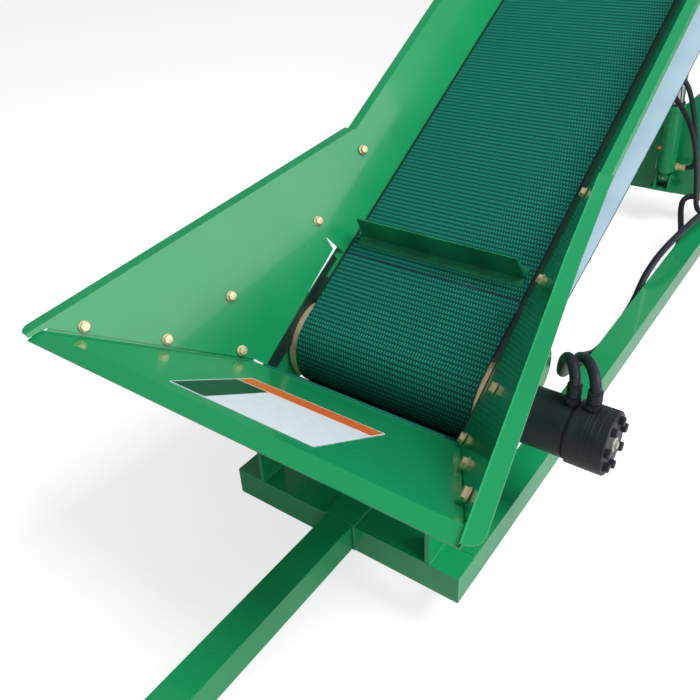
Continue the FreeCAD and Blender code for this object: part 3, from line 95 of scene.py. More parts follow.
# ---------------------------------------------------------------- camera
def make_camera():
    data = bpy.data.cameras.new("camera")
    data.lens = 38.38
    data.sensor_width = 36.0
    data.shift_x = -0.037
    data.shift_y = -0.0313
    data.clip_start = 0.05
    data.clip_end = 60.0
    camera = bpy.data.objects.new("camera", data)
    bpy.context.scene.collection.objects.link(camera)
    back = Vector((0.4959, -0.6882, 0.5294)).normalized()
    right = Vector((0.8230, 0.5670, -0.0339)).normalized()
    up = back.cross(right).normalized()
    right = up.cross(back).normalized()
    turn = Matrix((right, up, back)).transposed().to_4x4()
    camera.matrix_world = Matrix.Translation(base(850.6, -993.2, 1440.5)) @ turn
    bpy.context.scene.camera = camera


make_camera()


# ---------------------------------------------------------------- materials
def linear(r, g, b):
    """sRGB bytes to the linear colour that a shader takes."""
    out = []
    for value in (r, g, b):
        value /= 255.0
        out.append(value / 12.92 if value <= 0.04045 else ((value + 0.055) / 1.055) ** 2.4)
    return tuple(out) + (1.0,)


class Shade:
    """A node material under construction."""

    def __init__(self, name):
        self.material = bpy.data.materials.new(name)
        self.material.use_nodes = True
        self.tree = self.material.node_tree
        self.shader = self.tree.nodes["Principled BSDF"]

    def node(self, kind, **values):
        made = self.tree.nodes.new(kind)
        for key, value in values.items():
            setattr(made, key, value)
        return made

    def link(self, start, end):
        self.tree.links.new(start, end)

    def set(self, **values):
        for key, value in values.items():
            self.shader.inputs[key.replace("_", " ")].default_value = value
        return self

    def place(self, scale=(1.0, 1.0, 1.0)):
        coords = self.node("ShaderNodeTexCoord")
        mapping = self.node("ShaderNodeMapping")
        mapping.inputs["Scale"].default_value = scale
        self.link(coords.outputs["Object"], mapping.inputs["Vector"])
        return mapping.outputs["Vector"]

    def noise(self, scale, detail=3.0, rough=0.5, vector=None):
        made = self.node("ShaderNodeTexNoise")
        made.inputs["Scale"].default_value = scale
        made.inputs["Detail"].default_value = detail
        made.inputs["Roughness"].default_value = rough
        self.link(vector or self.place(), made.inputs["Vector"])
        return made.outputs["Fac"]

    def ramp(self, factor, *stops):
        made = self.node("ShaderNodeValToRGB")
        ramp = made.color_ramp
        while len(ramp.elements) < len(stops):
            ramp.elements.new(0.5)
        for element, (at, colour) in zip(ramp.elements, stops):
            element.position = at
            element.color = colour
        self.link(factor, made.inputs["Fac"])
        return made.outputs["Color"]

    def grey(self, factor, low, high, start=0.3, end=0.7):
        made = self.node("ShaderNodeMapRange")
        made.inputs["From Min"].default_value = start
        made.inputs["From Max"].default_value = end
        made.inputs["To Min"].default_value = low
        made.inputs["To Max"].default_value = high
        self.link(factor, made.inputs["Value"])
        return made.outputs["Result"]

    def math(self, operation, one, two=None):
        made = self.node("ShaderNodeMath", operation=operation)
        for slot, value in zip(made.inputs, (one, two)):
            if value is None:
                continue
            if isinstance(value, (int, float)):
                slot.default_value = value
            else:
                self.link(value, slot)
        return made.outputs["Value"]

    def mix(self, factor, one, two):
        made = self.node("ShaderNodeMix", data_type="RGBA")
        self.link(factor, made.inputs[0])
        for slot, value in ((made.inputs[6], one), (made.inputs[7], two)):
            if isinstance(value, tuple):
                slot.default_value = value
            else:
                self.link(value, slot)
        return made.outputs[2]

    def bump(self, rib_height_and_shade, strength, distance):
        made = self.node("ShaderNodeBump")
        made.inputs["Strength"].default_value = strength
        made.inputs["Distance"].default_value = distance
        self.link(rib_height_and_shade, made.inputs["Height"])
        return made.outputs["Normal"]

    def finish(self, colour, rough, normal=None):
        for name, value in (("Base Color", colour), ("Roughness", rough), ("Normal", normal)):
            if value is not None:
                self.link(value, self.shader.inputs[name])
        return self.material


def paint(name, colour, rough=0.2, coat=0.35):
    """Sprayed gloss paint: a little orange peel, faint colour drift and dust in the gloss."""
    shade = Shade(name)
    shade.set(Coat_Weight=coat, Coat_Roughness=0.06, IOR=1.5)
    drift = shade.noise(2.2, 4.0)
    dark = tuple(c * 0.90 for c in colour[:3]) + (1.0,)
    light = tuple(min(c * 1.08, 1.0) for c in colour[:3]) + (1.0,)
    tint = shade.ramp(drift, (0.3, dark), (0.7, light))
    dust = shade.noise(5.0, 5.0, 0.6)
    gloss = shade.grey(dust, rough - 0.05, rough + 0.09)
    peel = shade.noise(260.0, 2.0)
    return shade.finish(tint, gloss, shade.bump(peel, 0.025, 0.0005))


def metal(name, colour, rough=0.3, streak=(1.0, 1.0, 1.0), spread=0.12, metallic=1.0):
    shade = Shade(name)
    shade.set(Metallic=metallic)
    grain = shade.noise(180.0, 3.0, 0.6, shade.place(streak))
    dark = tuple(c * 0.82 for c in colour[:3]) + (1.0,)
    tint = shade.ramp(shade.noise(30.0, 4.0), (0.3, dark), (0.7, colour))
    return shade.finish(tint, shade.grey(grain, rough - spread / 2, rough + spread),
                        shade.bump(grain, 0.08, 0.0004))


def cast(name, colour, rough=0.5, grain_size=320.0, strength=0.25):
    shade = Shade(name)
    grain = shade.noise(grain_size, 4.0, 0.6)
    light = tuple(min(c * 1.5 + 0.004, 1.0) for c in colour[:3]) + (1.0,)
    tint = shade.ramp(shade.noise(12.0, 5.0), (0.35, colour), (0.75, light))
    return shade.finish(tint, shade.grey(grain, rough - 0.08, rough + 0.1),
                        shade.bump(grain, strength, 0.0008))


def rubber(name, colour, rough=0.55):
    shade = Shade(name)
    shade.set(Specular_IOR_Level=0.4)
    fine = shade.noise(500.0, 3.0)
    dusty = tuple(min(c * 1.9 + 0.006, 1.0) for c in colour[:3]) + (1.0,)
    tint = shade.ramp(shade.noise(9.0, 6.0, 0.6), (0.4, colour), (0.8, dusty))
    return shade.finish(tint, shade.grey(fine, rough - 0.06, rough + 0.08),
                        shade.bump(fine, 0.12, 0.0005))


def hose_skin():
    """Hydraulic hose: smooth wrapped rubber with a soft blue-black gloss."""
    shade = Shade("hose_rubber")
    wrap = shade.noise(70.0, 2.0, 0.5, shade.place((1.0, 1.0, 3.0)))
    tint = shade.ramp(wrap, (0.3, linear(26, 28, 36)), (0.75, linear(38, 42, 52)))
    return shade.finish(tint, shade.grey(wrap, 0.34, 0.46), shade.bump(wrap, 0.10, 0.0005))


def belt_cover():
    """Ribbed belt: rows of small staggered nubs across, from the belt's own coordinates
    (across and along, in metres). Its colour holds painted shade in the grooves and a painted
    highlight on the crests."""
    shade = Shade("belt_cover")
    coords = shade.node("ShaderNodeTexCoord")
    parts = shade.node("ShaderNodeSeparateXYZ")
    shade.link(coords.outputs["UV"], parts.inputs["Vector"])
    across, along = parts.outputs["X"], parts.outputs["Y"]
    row = shade.math("MULTIPLY", along, 1.0 / 0.0126)
    wave = shade.math("SINE", shade.math("MULTIPLY", row, 2.0 * math.pi))
    rib = shade.grey(wave, 0.12, 1.0, -0.85, 0.05)
    odd = shade.math("MULTIPLY", shade.math("FLOOR", row), 0.5)
    nub_at = shade.math("ADD", shade.math("MULTIPLY", across, 1.0 / 0.0076), odd)
    nub_wave = shade.math("SINE", shade.math("MULTIPLY", nub_at, 2.0 * math.pi))
    nub = shade.grey(nub_wave, 0.12, 1.0, -0.7, 0.2)
    rib_height_and_shade = shade.math("MULTIPLY", rib, nub)
    wear = shade.noise(3.0, 4.0)
    shade.set(Specular_IOR_Level=0.12)
    # Painted light: the crests get a lighter colour as painted highlight and the grooves a dark
    # colour as painted shade, mixed by the rib height.
    lit_crest = shade.ramp(wear, (0.3, linear(32, 134, 114)), (0.7, linear(38, 142, 122)))
    tint = shade.mix(rib_height_and_shade, linear(4, 56, 46), lit_crest)
    return shade.finish(tint, shade.grey(wear, 0.55, 0.66), shade.bump(rib_height_and_shade, 0.4, 0.0012))


def belt_inside():
    """The fabric side of the belt."""
    shade = Shade("belt_fabric")
    warp = shade.noise(300.0, 2.0, 0.5, shade.place((6.0, 1.0, 1.0)))
    tint = shade.ramp(shade.noise(5.0, 3.0), (0.3, linear(168, 198, 214)),
                      (0.7, linear(188, 214, 230)))
    return shade.finish(tint, shade.grey(warp, 0.6, 0.75), shade.bump(warp, 0.15, 0.0004))


def plain(name, colour, rough=0.4):
    shade = Shade(name)
    speck = shade.noise(60.0, 3.0)
    low = tuple(c * 0.93 for c in colour[:3]) + (1.0,)
    return shade.finish(shade.ramp(speck, (0.3, low), (0.7, colour)),
                        shade.grey(speck, rough - 0.04, rough + 0.06))


GREEN = paint("green_paint", linear(22, 148, 90))
CREAM = paint("rim_paint", linear(214, 214, 208), 0.34, 0.2)
BLACK = cast("motor_black", linear(24, 28, 34), 0.42, 420.0, 0.12)
IRON = cast("cast_black", linear(34, 36, 40), 0.5)
TYRE = rubber("tyre_rubber", linear(26, 26, 27), 0.62)
GRIP = rubber("grip_rubber", linear(18, 18, 20), 0.45)
CLEAT = rubber("cleat_rubber", linear(16, 112, 76), 0.42)
SEAM = rubber("belt_seam", linear(14, 52, 60), 0.5)
HOSE = hose_skin()
BELT = belt_cover()
FABRIC = belt_inside()
GOLD = metal("yellow_zinc", linear(246, 222, 182), 0.3, metallic=0.55)
ZINC = metal("bright_zinc", linear(222, 222, 214), 0.3, metallic=0.7)
# Painted shade: a dark green-black given to the galvanised slider bed under the belt and to the
# foot liners, in place of the shade there.
SLIDER_PAINTED_SHADE = cast("slider_painted_shade", linear(22, 46, 40), 0.5)
CHROME = metal("chrome", linear(212, 214, 218), 0.1, (1.0, 1.0, 0.02), 0.05)
WHITE = plain("sign_white", linear(222, 232, 240), 0.55)
ORANGE = plain("sign_orange", linear(233, 104, 38), 0.35)
SIGN_GREEN = plain("sign_green", linear(18, 70, 44), 0.35)
SLOT_MATERIAL = {"green_paint": GREEN, "belt": CLEAT, "tyre": TYRE, "rim_paint": CREAM,
                 "zinc": ZINC, "galvanised": SLIDER_PAINTED_SHADE, "chrome": CHROME, "cast_black": IRON,
                 "motor_black": BLACK, "hose": HOSE}


def dress_nodes():
    for entry in frame["record"]["subparts"]:
        node = nodes[entry["node"]]
        node.data.materials.clear()
        node.data.materials.append(SLOT_MATERIAL[entry["material_slot"]])
    for name in ("drive_drum", "head_drum", "pivot_pins"):
        nodes[name].data.materials[0] = GOLD


dress_nodes()


# ---------------------------------------------------------------- building helpers
def add_object(name, mesh, material, body, smooth):
    """A mesh as an object, shaded smooth below an angle, on its body and with its material."""
    if not mesh.materials:
        mesh.materials.append(material)
    made = bpy.data.objects.new(name, mesh)
    bpy.context.scene.collection.objects.link(made)
    for polygon in mesh.polygons:
        polygon.use_smooth = True
    mesh.set_sharp_from_angle(angle=math.radians(smooth))
    if body:
        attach(made, body)
    return made


def to_mesh(name, solid):
    """A named mesh from a bmesh, with its faces turned outwards."""
    bmesh.ops.recalc_face_normals(solid, faces=solid.faces)
    mesh = bpy.data.meshes.new(name)
    solid.to_mesh(mesh)
    solid.free()
    return mesh


class Heap:
    """Small solids collected into one mesh."""

    def __init__(self):
        self.mesh = bmesh.new()

    def add_rings(self, rings, closed_ends=True):
        """Rings of points, each the same count, skinned in order."""
        made = [[self.mesh.verts.new(point) for point in ring] for ring in rings]
        count = len(made[0])
        for one, two in zip(made, made[1:]):
            for i in range(count):
                j = (i + 1) % count
                self.mesh.faces.new((one[i], one[j], two[j], two[i]))
        if closed_ends:
            self.mesh.faces.new(list(reversed(made[0])))
            self.mesh.faces.new(made[-1])

    def turned(self, centre, axis, profile, sides=32, start=0.0):
        """A solid of revolution from (distance along the axis, radius) pairs, in millimetres."""
        axis = axis.normalized()
        u = axis.orthogonal().normalized()
        v = axis.cross(u)
        rings = []
        for along, radius in profile:
            radius = max(radius, 0.01)
            rings.append([centre + axis * (along / 1000.0)
                          + (u * math.cos(start + 2 * math.pi * i / sides)
                             + v * math.sin(start + 2 * math.pi * i / sides)) * (radius / 1000.0)
                          for i in range(sides)])
        self.add_rings(rings)

    def hoop(self, centre, axis, profile, sides=48):
        """A ring: a closed outline of (distance along the axis, radius) pairs, in millimetres."""
        axis = axis.normalized()
        u = axis.orthogonal().normalized()
        v = axis.cross(u)
        rings = []
        for i in range(sides):
            out = u * math.cos(2 * math.pi * i / sides) + v * math.sin(2 * math.pi * i / sides)
            rings.append([self.mesh.verts.new(centre + axis * (along / 1000.0)
                                              + out * (radius / 1000.0))
                          for along, radius in profile])
        count = len(profile)
        for i in range(sides):
            one, two = rings[i], rings[(i + 1) % sides]
            for k in range(count):
                j = (k + 1) % count
                self.mesh.faces.new((one[k], one[j], two[j], two[k]))

    def block(self, centre, x_dir, y_dir, size, soften=1.0):
        """A box with softened edges; size in millimetres along x_dir, y_dir and their cross."""
        x_dir, y_dir = x_dir.normalized(), y_dir.normalized()
        z_dir = x_dir.cross(y_dir)
        sx, sy, sz = (s / 2000.0 for s in size)
        soft = min(soften / 1000.0, sx * 0.6, sy * 0.6, sz * 0.6)

        def ring(half_x, half_y, z, cut=soft):
            corners = [(half_x - cut, half_y), (-half_x + cut, half_y), (-half_x, half_y - cut),
                       (-half_x, -half_y + cut), (-half_x + cut, -half_y), (half_x - cut, -half_y),
                       (half_x, -half_y + cut), (half_x, half_y - cut)]
            return [centre + x_dir * x + y_dir * y + z_dir * z for x, y in corners]
        self.add_rings([ring(sx - soft, sy - soft, -sz), ring(sx, sy, -sz + soft),
                        ring(sx, sy, sz - soft), ring(sx - soft, sy - soft, sz)])

    def bolt(self, at, out, across=19.0, head=8.0, washer=13.5, turned_by=0.3):
        """A flanged hex bolt head standing on a surface."""
        half = across / 2 / HEX_CORNER
        self.turned(at, out, [(-1.0, washer * 0.98), (0.6, washer), (1.8, washer - 0.7),
                              (2.6, half * 0.98)], 28)
        self.turned(at, out, [(2.0, half * 0.94), (2.6, half), (head + 1.0, half),
                              (head + 2.2, half * 0.9), (head + 2.6, half * 0.55)], 6, turned_by)

    def nut(self, at, out, across, thick, turned_by=0.0):
        half = across / 2 / HEX_CORNER
        self.turned(at, out, [(0.0, half * 0.9), (1.0, half), (thick - 1.0, half),
                              (thick, half * 0.9)], 6, turned_by)

    def weld(self, points, radius=3.2, seed=1):
        """A fillet weld: a bead with ripples along a line."""
        rng = random.Random(seed)
        rings = []
        total = sum((b - a).length for a, b in zip(points, points[1:]))
        steps = max(int(total / 0.0022), 4)
        piece, carried = 0, 0.0
        for k in range(steps + 1):
            goal = total * k / steps
            while piece < len(points) - 2:
                reach = carried + (points[piece + 1] - points[piece]).length
                if reach >= goal:
                    break
                carried = reach
                piece += 1
            run = points[piece + 1] - points[piece]
            spot = points[piece] + run.normalized() * (goal - carried)
            axis = run.normalized()
            u = axis.orthogonal().normalized()
            v = axis.cross(u)
            swell = radius * (0.86 + 0.16 * (k % 2) + rng.uniform(-0.07, 0.07)) / 1000.0
            if k in (0, steps):
                swell *= 0.45
            rings.append([spot + (u * math.cos(2 * math.pi * i / 8)
                                  + v * math.sin(2 * math.pi * i / 8)) * swell for i in range(8)])
        self.add_rings(rings)

    def tube(self, points, radius, sides=16):
        """A round bar along points with mitred corners."""
        rings = []
        side = None
        for k, point in enumerate(points):
            before = (point - points[k - 1]).normalized() if k else None
            after = (points[k + 1] - point).normalized() if k < len(points) - 1 else None
            axis = ((before or after) + (after or before)).normalized()
            if side is None:
                side = axis.orthogonal().normalized()
            side = (side - axis * side.dot(axis)).normalized()
            other = axis.cross(side)
            stretch = 1.0
            if before and after:
                stretch = 1.0 / max(math.cos(before.angle(after) / 2), 0.4)
            rings.append([point + (side * math.cos(2 * math.pi * i / sides)
                                   + other * math.sin(2 * math.pi * i / sides) * stretch)
                          * (radius / 1000.0) for i in range(sides)])
        self.add_rings(rings)

    def sheet_prism(self, corners, push):
        """A flat outline pushed along a vector."""
        self.add_rings([corners, [corner + push for corner in corners]])

    def to(self, name, material, body, slot=None, smooth=30):
        return add_object(name, to_mesh(name, self.mesh), material, body, smooth)


# ---------------------------------------------------------------- hoses
def port(x, reach):
    return (x, MOTOR_Y, MOTOR_Z + reach)


PRESSURE = [port(489, 90), port(489, 110), (488, 294, 486), (479, 303, 509), (460, 323, 522),
            (437, 348, 514), (418, 378, 491), (405, 414, 464), (397, 452, 437), (388, 490, 409),
            (364, 560, 360), (336, 640, 303), (306, 740, 234), (276, 840, 168), (250, 920, 119),
            (238, 995, 76), (238, 1070, 38), (238, 1150, 14), (238, 1260, 6), (238, 1370, 9),
            (238, 1450, 20), (239, 1505, 38), (239, 1545, 66), (242, 1582, 98), (250, 1630, 128),
            (260, 1695, 152), (273, 1800, 167), (289, 1960, 172), (301, 2080, 171),
            (308, 2170, 163), (310, 2236, 148), (310, 2296, 144)]
RETURN = [port(443, 90), port(443, 110), (442, 294, 494), (428, 310, 516), (408, 332, 516),
          (394, 350, 494), (385, 367, 462), (378, 387, 433), (371, 414, 411), (366, 446, 394),
          (354, 490, 370), (330, 560, 322), (300, 645, 262), (272, 745, 195), (248, 845, 130),
          (234, 935, 76), (229, 1010, 32), (234, 1080, 0), (238, 1160, -18), (238, 1300, -22),
          (238, 1500, -22), (238, 1700, -21), (238, 1900, -18), (236, 2050, -10), (228, 2140, 8),
          (212, 2200, 34), (192, 2250, 60), (174, 2300, 84), (164, 2345, 100), (168, 2384, 109),
          (188, 2410, 111), (214, 2416, 110), (238, 2416, 110)]
LIFT = [(60, 2633.3, 154.6), (88, 2633, 155), (114, 2629, 161), (130, 2620, 184), (133, 2610, 222),
        (126, 2600, 278), (115, 2590, 335), (101, 2579, 401), (87, 2565, 461), (72, 2548, 516),
        (54, 2532, 562), (28, 2514, 594), (-2, 2492, 600), (-10, 2468, 580), (4, 2452, 554),
        (26, 2444, 532), (50, 2434, 510), (76, 2420, 488), (106, 2396, 462), (134, 2370, 432),
        (160, 2344, 396), (184, 2318, 352), (204, 2292, 298), (222, 2268, 240), (236, 2242, 186),
        (248, 2226, 142), (262, 2236, 116), (278, 2262, 110), (278, 2296, 110)]


def spline_points(name, route):
    """The points along a route's smooth line."""
    data = bpy.data.curves.new(name, "CURVE")
    data.dimensions = "3D"
    data.resolution_u = 14
    spline = data.splines.new("NURBS")
    spline.points.add(len(route) - 1)
    for point, corner in zip(spline.points, route):
        point.co = tuple(base(*corner)) + (1.0,)
    spline.order_u = 3
    spline.use_endpoint_u = True
    holder = bpy.data.objects.new(name, data)
    bpy.context.scene.collection.objects.link(holder)
    bpy.context.view_layer.update()
    line = bpy.data.meshes.new_from_object(holder)
    points = [vertex.co.copy() for vertex in line.vertices]
    bpy.data.objects.remove(holder)
    bpy.data.curves.remove(data)
    bpy.data.meshes.remove(line)
    return points


def hose(name, route, radius, node_names):
    """One hose, a tube along its route across the pivot between its two bodies."""
    points = spline_points(name + "_line", route)
    heap = Heap()
    heap.tube(points, radius, 20)
    made = add_object(name, to_mesh(name, heap.mesh), HOSE, None, 60.0)
    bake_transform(made)
    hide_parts(*node_names)
    return points


def ferrule(heap, at, direction, radius):
    """A crimped sleeve and its nut; direction runs into the hose."""
    profile = [(0.0, radius * 1.18), (2.0, radius * 1.3)]
    for i in range(6):
        profile += [(5.0 + 4.0 * i, radius * 1.33), (6.0 + 4.0 * i, radius * 1.24),
                    (8.0 + 4.0 * i, radius * 1.24)]
    profile += [(30.0, radius * 1.3), (31.5, radius * 1.08)]
    heap.turned(at, direction, profile, 24)
    heap.nut(at - direction * 0.014, direction, radius * 2.5, 13.0, 0.2)


def make_hoses():
    line_one = hose("hose_pressure", PRESSURE, HOSE_RADIUS,
                    ("hose_pressure_boom", "hose_pressure_frame"))
    line_two = hose("hose_return", RETURN, HOSE_RADIUS,
                    ("hose_return_boom", "hose_return_frame"))
    line_three = hose("hose_lift", LIFT, LIFT_HOSE_RADIUS,
                      ("hose_lift_barrel", "hose_lift_frame"))
    on_boom, on_frame, on_barrel = Heap(), Heap(), Heap()
    for points, radius, start, end in ((line_one, HOSE_RADIUS, on_boom, on_frame),
                                       (line_two, HOSE_RADIUS, on_boom, on_frame),
                                       (line_three, LIFT_HOSE_RADIUS, on_barrel, on_frame)):
        ferrule(start, points[0], (points[2] - points[0]).normalized(), radius)
        ferrule(end, points[-1], (points[-3] - points[-1]).normalized(), radius)
    on_boom.to("ferrules_motor", BLACK, "boom", "cast_black", 30)
    on_frame.to("ferrules_valve", GOLD, "chassis", "zinc", 30)
    on_barrel.to("ferrule_lift", GOLD, "lift_barrel", "zinc", 30)


make_hoses()


# ---------------------------------------------------------------- belt
def belt_line():
    """The belt's closed path in the boom's plane: middle of the run, tangent angle and length
    walked, for its outer face."""
    outer, sag = 114.5, 195.0
    span = HEAD_A - DRIVE_A
    swing = (span * span / 4 + sag * sag) / (2 * sag)
    lean = math.asin(span / 2 / swing)
    middle = (DRIVE_A + HEAD_A) / 2
    centre_h = DRUM_H + swing - sag
    path = []
    walked = 0.0
    for k in range(61):
        path.append((DRIVE_A + span * k / 60, 0.0, 0.0, span * k / 60))
    walked = span
    turn = math.pi - lean
    for k in range(1, 33):
        angle = turn * k / 32
        path.append((HEAD_A + outer * math.sin(angle), DRUM_H + outer * math.cos(angle), -angle,
                     walked + outer * angle))
    walked += outer * turn
    radius = swing + outer
    for k in range(1, 81):
        swept = lean - 2 * lean * k / 80
        path.append((middle + radius * math.sin(swept), centre_h - radius * math.cos(swept),
                     -(math.pi - swept), walked + radius * (lean - swept)))
    walked += 2 * lean * radius
    for k in range(1, 33):
        angle = math.pi + lean + turn * k / 32
        path.append((DRIVE_A + outer * math.sin(angle), DRUM_H + outer * math.cos(angle), -angle,
                     walked + outer * (angle - math.pi - lean)))
    return path


PATH = belt_line()
BELT_RUN = PATH[-1][3]
COVER_SIDE, FABRIC_SIDE, EDGE_SIDE = 0, 1, 2


def on_belt(run):
    """Where a run along the belt is, and its tangent and outward directions."""
    run %= BELT_RUN
    for one, two in zip(PATH, PATH[1:]):
        if one[3] <= run <= two[3]:
            share = (run - one[3]) / max(two[3] - one[3], 1e-6)
            angle = one[2] + (two[2] - one[2]) * share
            along = one[0] + (two[0] - one[0]) * share
            rise = one[1] + (two[1] - one[1]) * share
            tangent = UP_BOOM * math.cos(angle) + OFF_BELT * math.sin(angle)
            normal = OFF_BELT * math.cos(angle) - UP_BOOM * math.sin(angle)
            return boom(0, along, rise), tangent, normal
    return boom(0, DRIVE_A, 0), UP_BOOM, OFF_BELT


def make_belt():
    mesh = bmesh.new()
    uv = mesh.loops.layers.uv.new("belt")
    half, thick = 251.5, 4.6
    rows = []
    for along, rise, angle, run in PATH[:-1]:
        normal = OFF_BELT * math.cos(angle) - UP_BOOM * math.sin(angle)
        top = boom(0, along, rise)
        low = top - normal * (thick / 1000.0)
        edge = X_DIR * (half / 1000.0)
        bend = X_DIR * ((half - 1.2) / 1000.0)
        soft = normal * 0.0012
        ring = [top - bend, top + bend, top + edge - soft, low + edge + soft, low + bend,
                low - bend, low - edge + soft, top - edge - soft]
        rows.append([mesh.verts.new(point) for point in ring])
    across = [-half, half, half, half, half, -half, -half, -half]
    for i in range(len(rows)):
        one, two = rows[i], rows[(i + 1) % len(rows)]
        v0 = PATH[i][3] / 1000.0
        v1 = PATH[i + 1][3] / 1000.0
        for k in range(8):
            j = (k + 1) % 8
            face = mesh.faces.new((one[k], one[j], two[j], two[k]))
            u0, u1 = across[k] / 1000.0, across[j] / 1000.0
            for loop, value in zip(face.loops, ((u0, v0), (u1, v0), (u1, v1), (u0, v1))):
                loop[uv].uv = value
            face.material_index = {0: COVER_SIDE, 4: FABRIC_SIDE}.get(k, EDGE_SIDE)
    data = to_mesh("belt", mesh)
    for material in (BELT, FABRIC, SEAM):
        data.materials.append(material)
    made = add_object("belt", data, BELT, "boom", 40)
    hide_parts("conveyor_belt")


def make_apron():
    """A curved strip of belting from the hopper floor's rear edge round the belt's foot."""
    profile = [(101.0, 41.0), (106.0, 20.0), (113.0, -8.0), (122.0, -40.0), (132.0, -68.0),
               (141.0, -94.0), (149.0, -118.0), (156.0, -144.0), (166.0, -172.0), (184.0, -200.0)]
    half, thick = 0.252, 0.004
    mesh = bmesh.new()
    uv = mesh.loops.layers.uv.new("belt")
    rows, walked, spots = [], [0.0], [boom(0, a, h) for a, h in profile]
    for one, two in zip(spots, spots[1:]):
        walked.append(walked[-1] + (two - one).length)
    for k, spot in enumerate(spots):
        ahead = (spots[min(k + 1, len(spots) - 1)] - spots[max(k - 1, 0)]).normalized()
        inward = X_DIR.cross(ahead)
        edge = X_DIR * half
        rows.append([mesh.verts.new(point) for point in
                     (spot - edge, spot + edge, spot + edge + inward * thick,
                      spot - edge + inward * thick)])
    across = (-half, half, half, -half)
    for k in range(len(rows) - 1):
        for i in range(4):
            j = (i + 1) % 4
            face = mesh.faces.new((rows[k][i], rows[k][j], rows[k + 1][j], rows[k + 1][i]))
            places = ((across[i], walked[k]), (across[j], walked[k]),
                      (across[j], walked[k + 1]), (across[i], walked[k + 1]))
            for loop, place in zip(face.loops, places):
                loop[uv].uv = place
    mesh.faces.new(list(reversed(rows[0])))
    mesh.faces.new(rows[-1])
    add_object("foot_apron", to_mesh("foot_apron", mesh), BELT, "boom", 40)


def make_shade_liners():
    """Dark strips of painted shade that close the slots between the hopper wings and the side
    plates.
    """
    heap = Heap()
    for side in (-1, 1):
        corners = [boom(side * 270.0, along, rise) for along, rise in
                   ((122.0, -30.0), (458.0, -30.0), (458.0, 22.0), (122.0, 8.0))]
        heap.sheet_prism(corners, X_DIR * (side * 0.0025))
    heap.to("foot_shade_liners", SLIDER_PAINTED_SHADE, "boom", "galvanised", 30)


def make_cleats():
    """Cleats: an upright rubber bar on a foot strip, with slanted ends and a ribbed root."""
    heap, feet, seams = Heap(), Heap(), Heap()
    wide, high, thick, foot = 471.0, 75.0, 6.4, 32.0
    pitch = BELT_RUN / 8
    for number in range(8):
        centre, tangent, normal = on_belt(276.0 + number * pitch)

        def spot(x, back, up):
            return (centre + X_DIR * (x / 1000.0) + tangent * (back / 1000.0)
                    + normal * (up / 1000.0))

        half, behind = wide / 2, -thick / 2
        ends = ((-half, 0.55), (-half + 2.0, 1.0), (half - 2.0, 1.0), (half, 0.55))
        rings = []
        for up, shrink, width in ((0.0, 0.0, thick + 5.0), (3.0, 0.0, thick + 1.5),
                                  (8.0, 0.6, thick), (high - 2.0, 9.2, thick * 0.86),
                                  (high, 10.6, thick * 0.5)):
            x = half - shrink
            w = width / 2
            rings.append([spot(-x, -w, up), spot(x, -w, up), spot(x, w, up), spot(-x, w, up)])
        heap.add_rings(rings)
        feet.add_rings([[spot(x, behind, 0.0), spot(x, behind, 6.0 * grow),
                         spot(x, behind + foot * 0.5, 5.0 * grow),
                         spot(x, behind + foot, 1.6 * grow), spot(x, behind + foot, 0.0)]
                        for x, grow in ends])
        feet.add_rings([[spot(x, behind - 27.0, 0.0), spot(x, behind - 27.0, 1.8 * grow),
                         spot(x, behind - 2.0, 4.6 * grow), spot(x, behind, 0.0)]
                        for x, grow in ends])
        seam_x = 249.0
        seams.add_rings([[spot(x, -66.0, 0.05), spot(x, -60.0, 0.05), spot(x, -60.0, 0.7),
                          spot(x, -66.0, 0.7)] for x in (-seam_x, seam_x)])
    heap.to("cleats", CLEAT, "boom", "belt", 30)
    feet.to("cleat_feet", CLEAT, "boom", "belt", 30)
    seams.to("belt_splices", SEAM, "boom", "belt", 30)


make_belt()
make_apron()
make_shade_liners()
make_cleats()


# ---------------------------------------------------------------- bolts and welds
def make_wing_bolts():
    heap, nuts = Heap(), Heap()
    spots = ((310.7, 592.3, 782.5), (310.7, 381.6, 655.0), (352.9, 85.3, 562.5),
             (307.1, 51.6, 439.7), (389.7, -93.6, 523.9), (468.6, -238.6, 610.4))
    for side in (-1, 1):
        out = X_DIR * (-side * math.cos(SPLAY)) + OFF_BELT * math.sin(SPLAY)
        for number, (x, y, z) in enumerate(spots):
            heap.bolt(base(side * x, y, z), out, turned_by=0.4 * number)
            at = base(side * x, y, z) - out * 0.0062
            nuts.nut(at, -out, 19.0, 9.0, 0.3 * number)
            nuts.turned(at, -out, [(8.0, 6.0), (13.0, 6.0), (14.0, 5.2)], 16)
    heap.to("wing_bolts", GOLD, "boom", "zinc", 30)
    nuts.to("wing_nuts", GOLD, "boom", "zinc", 30)


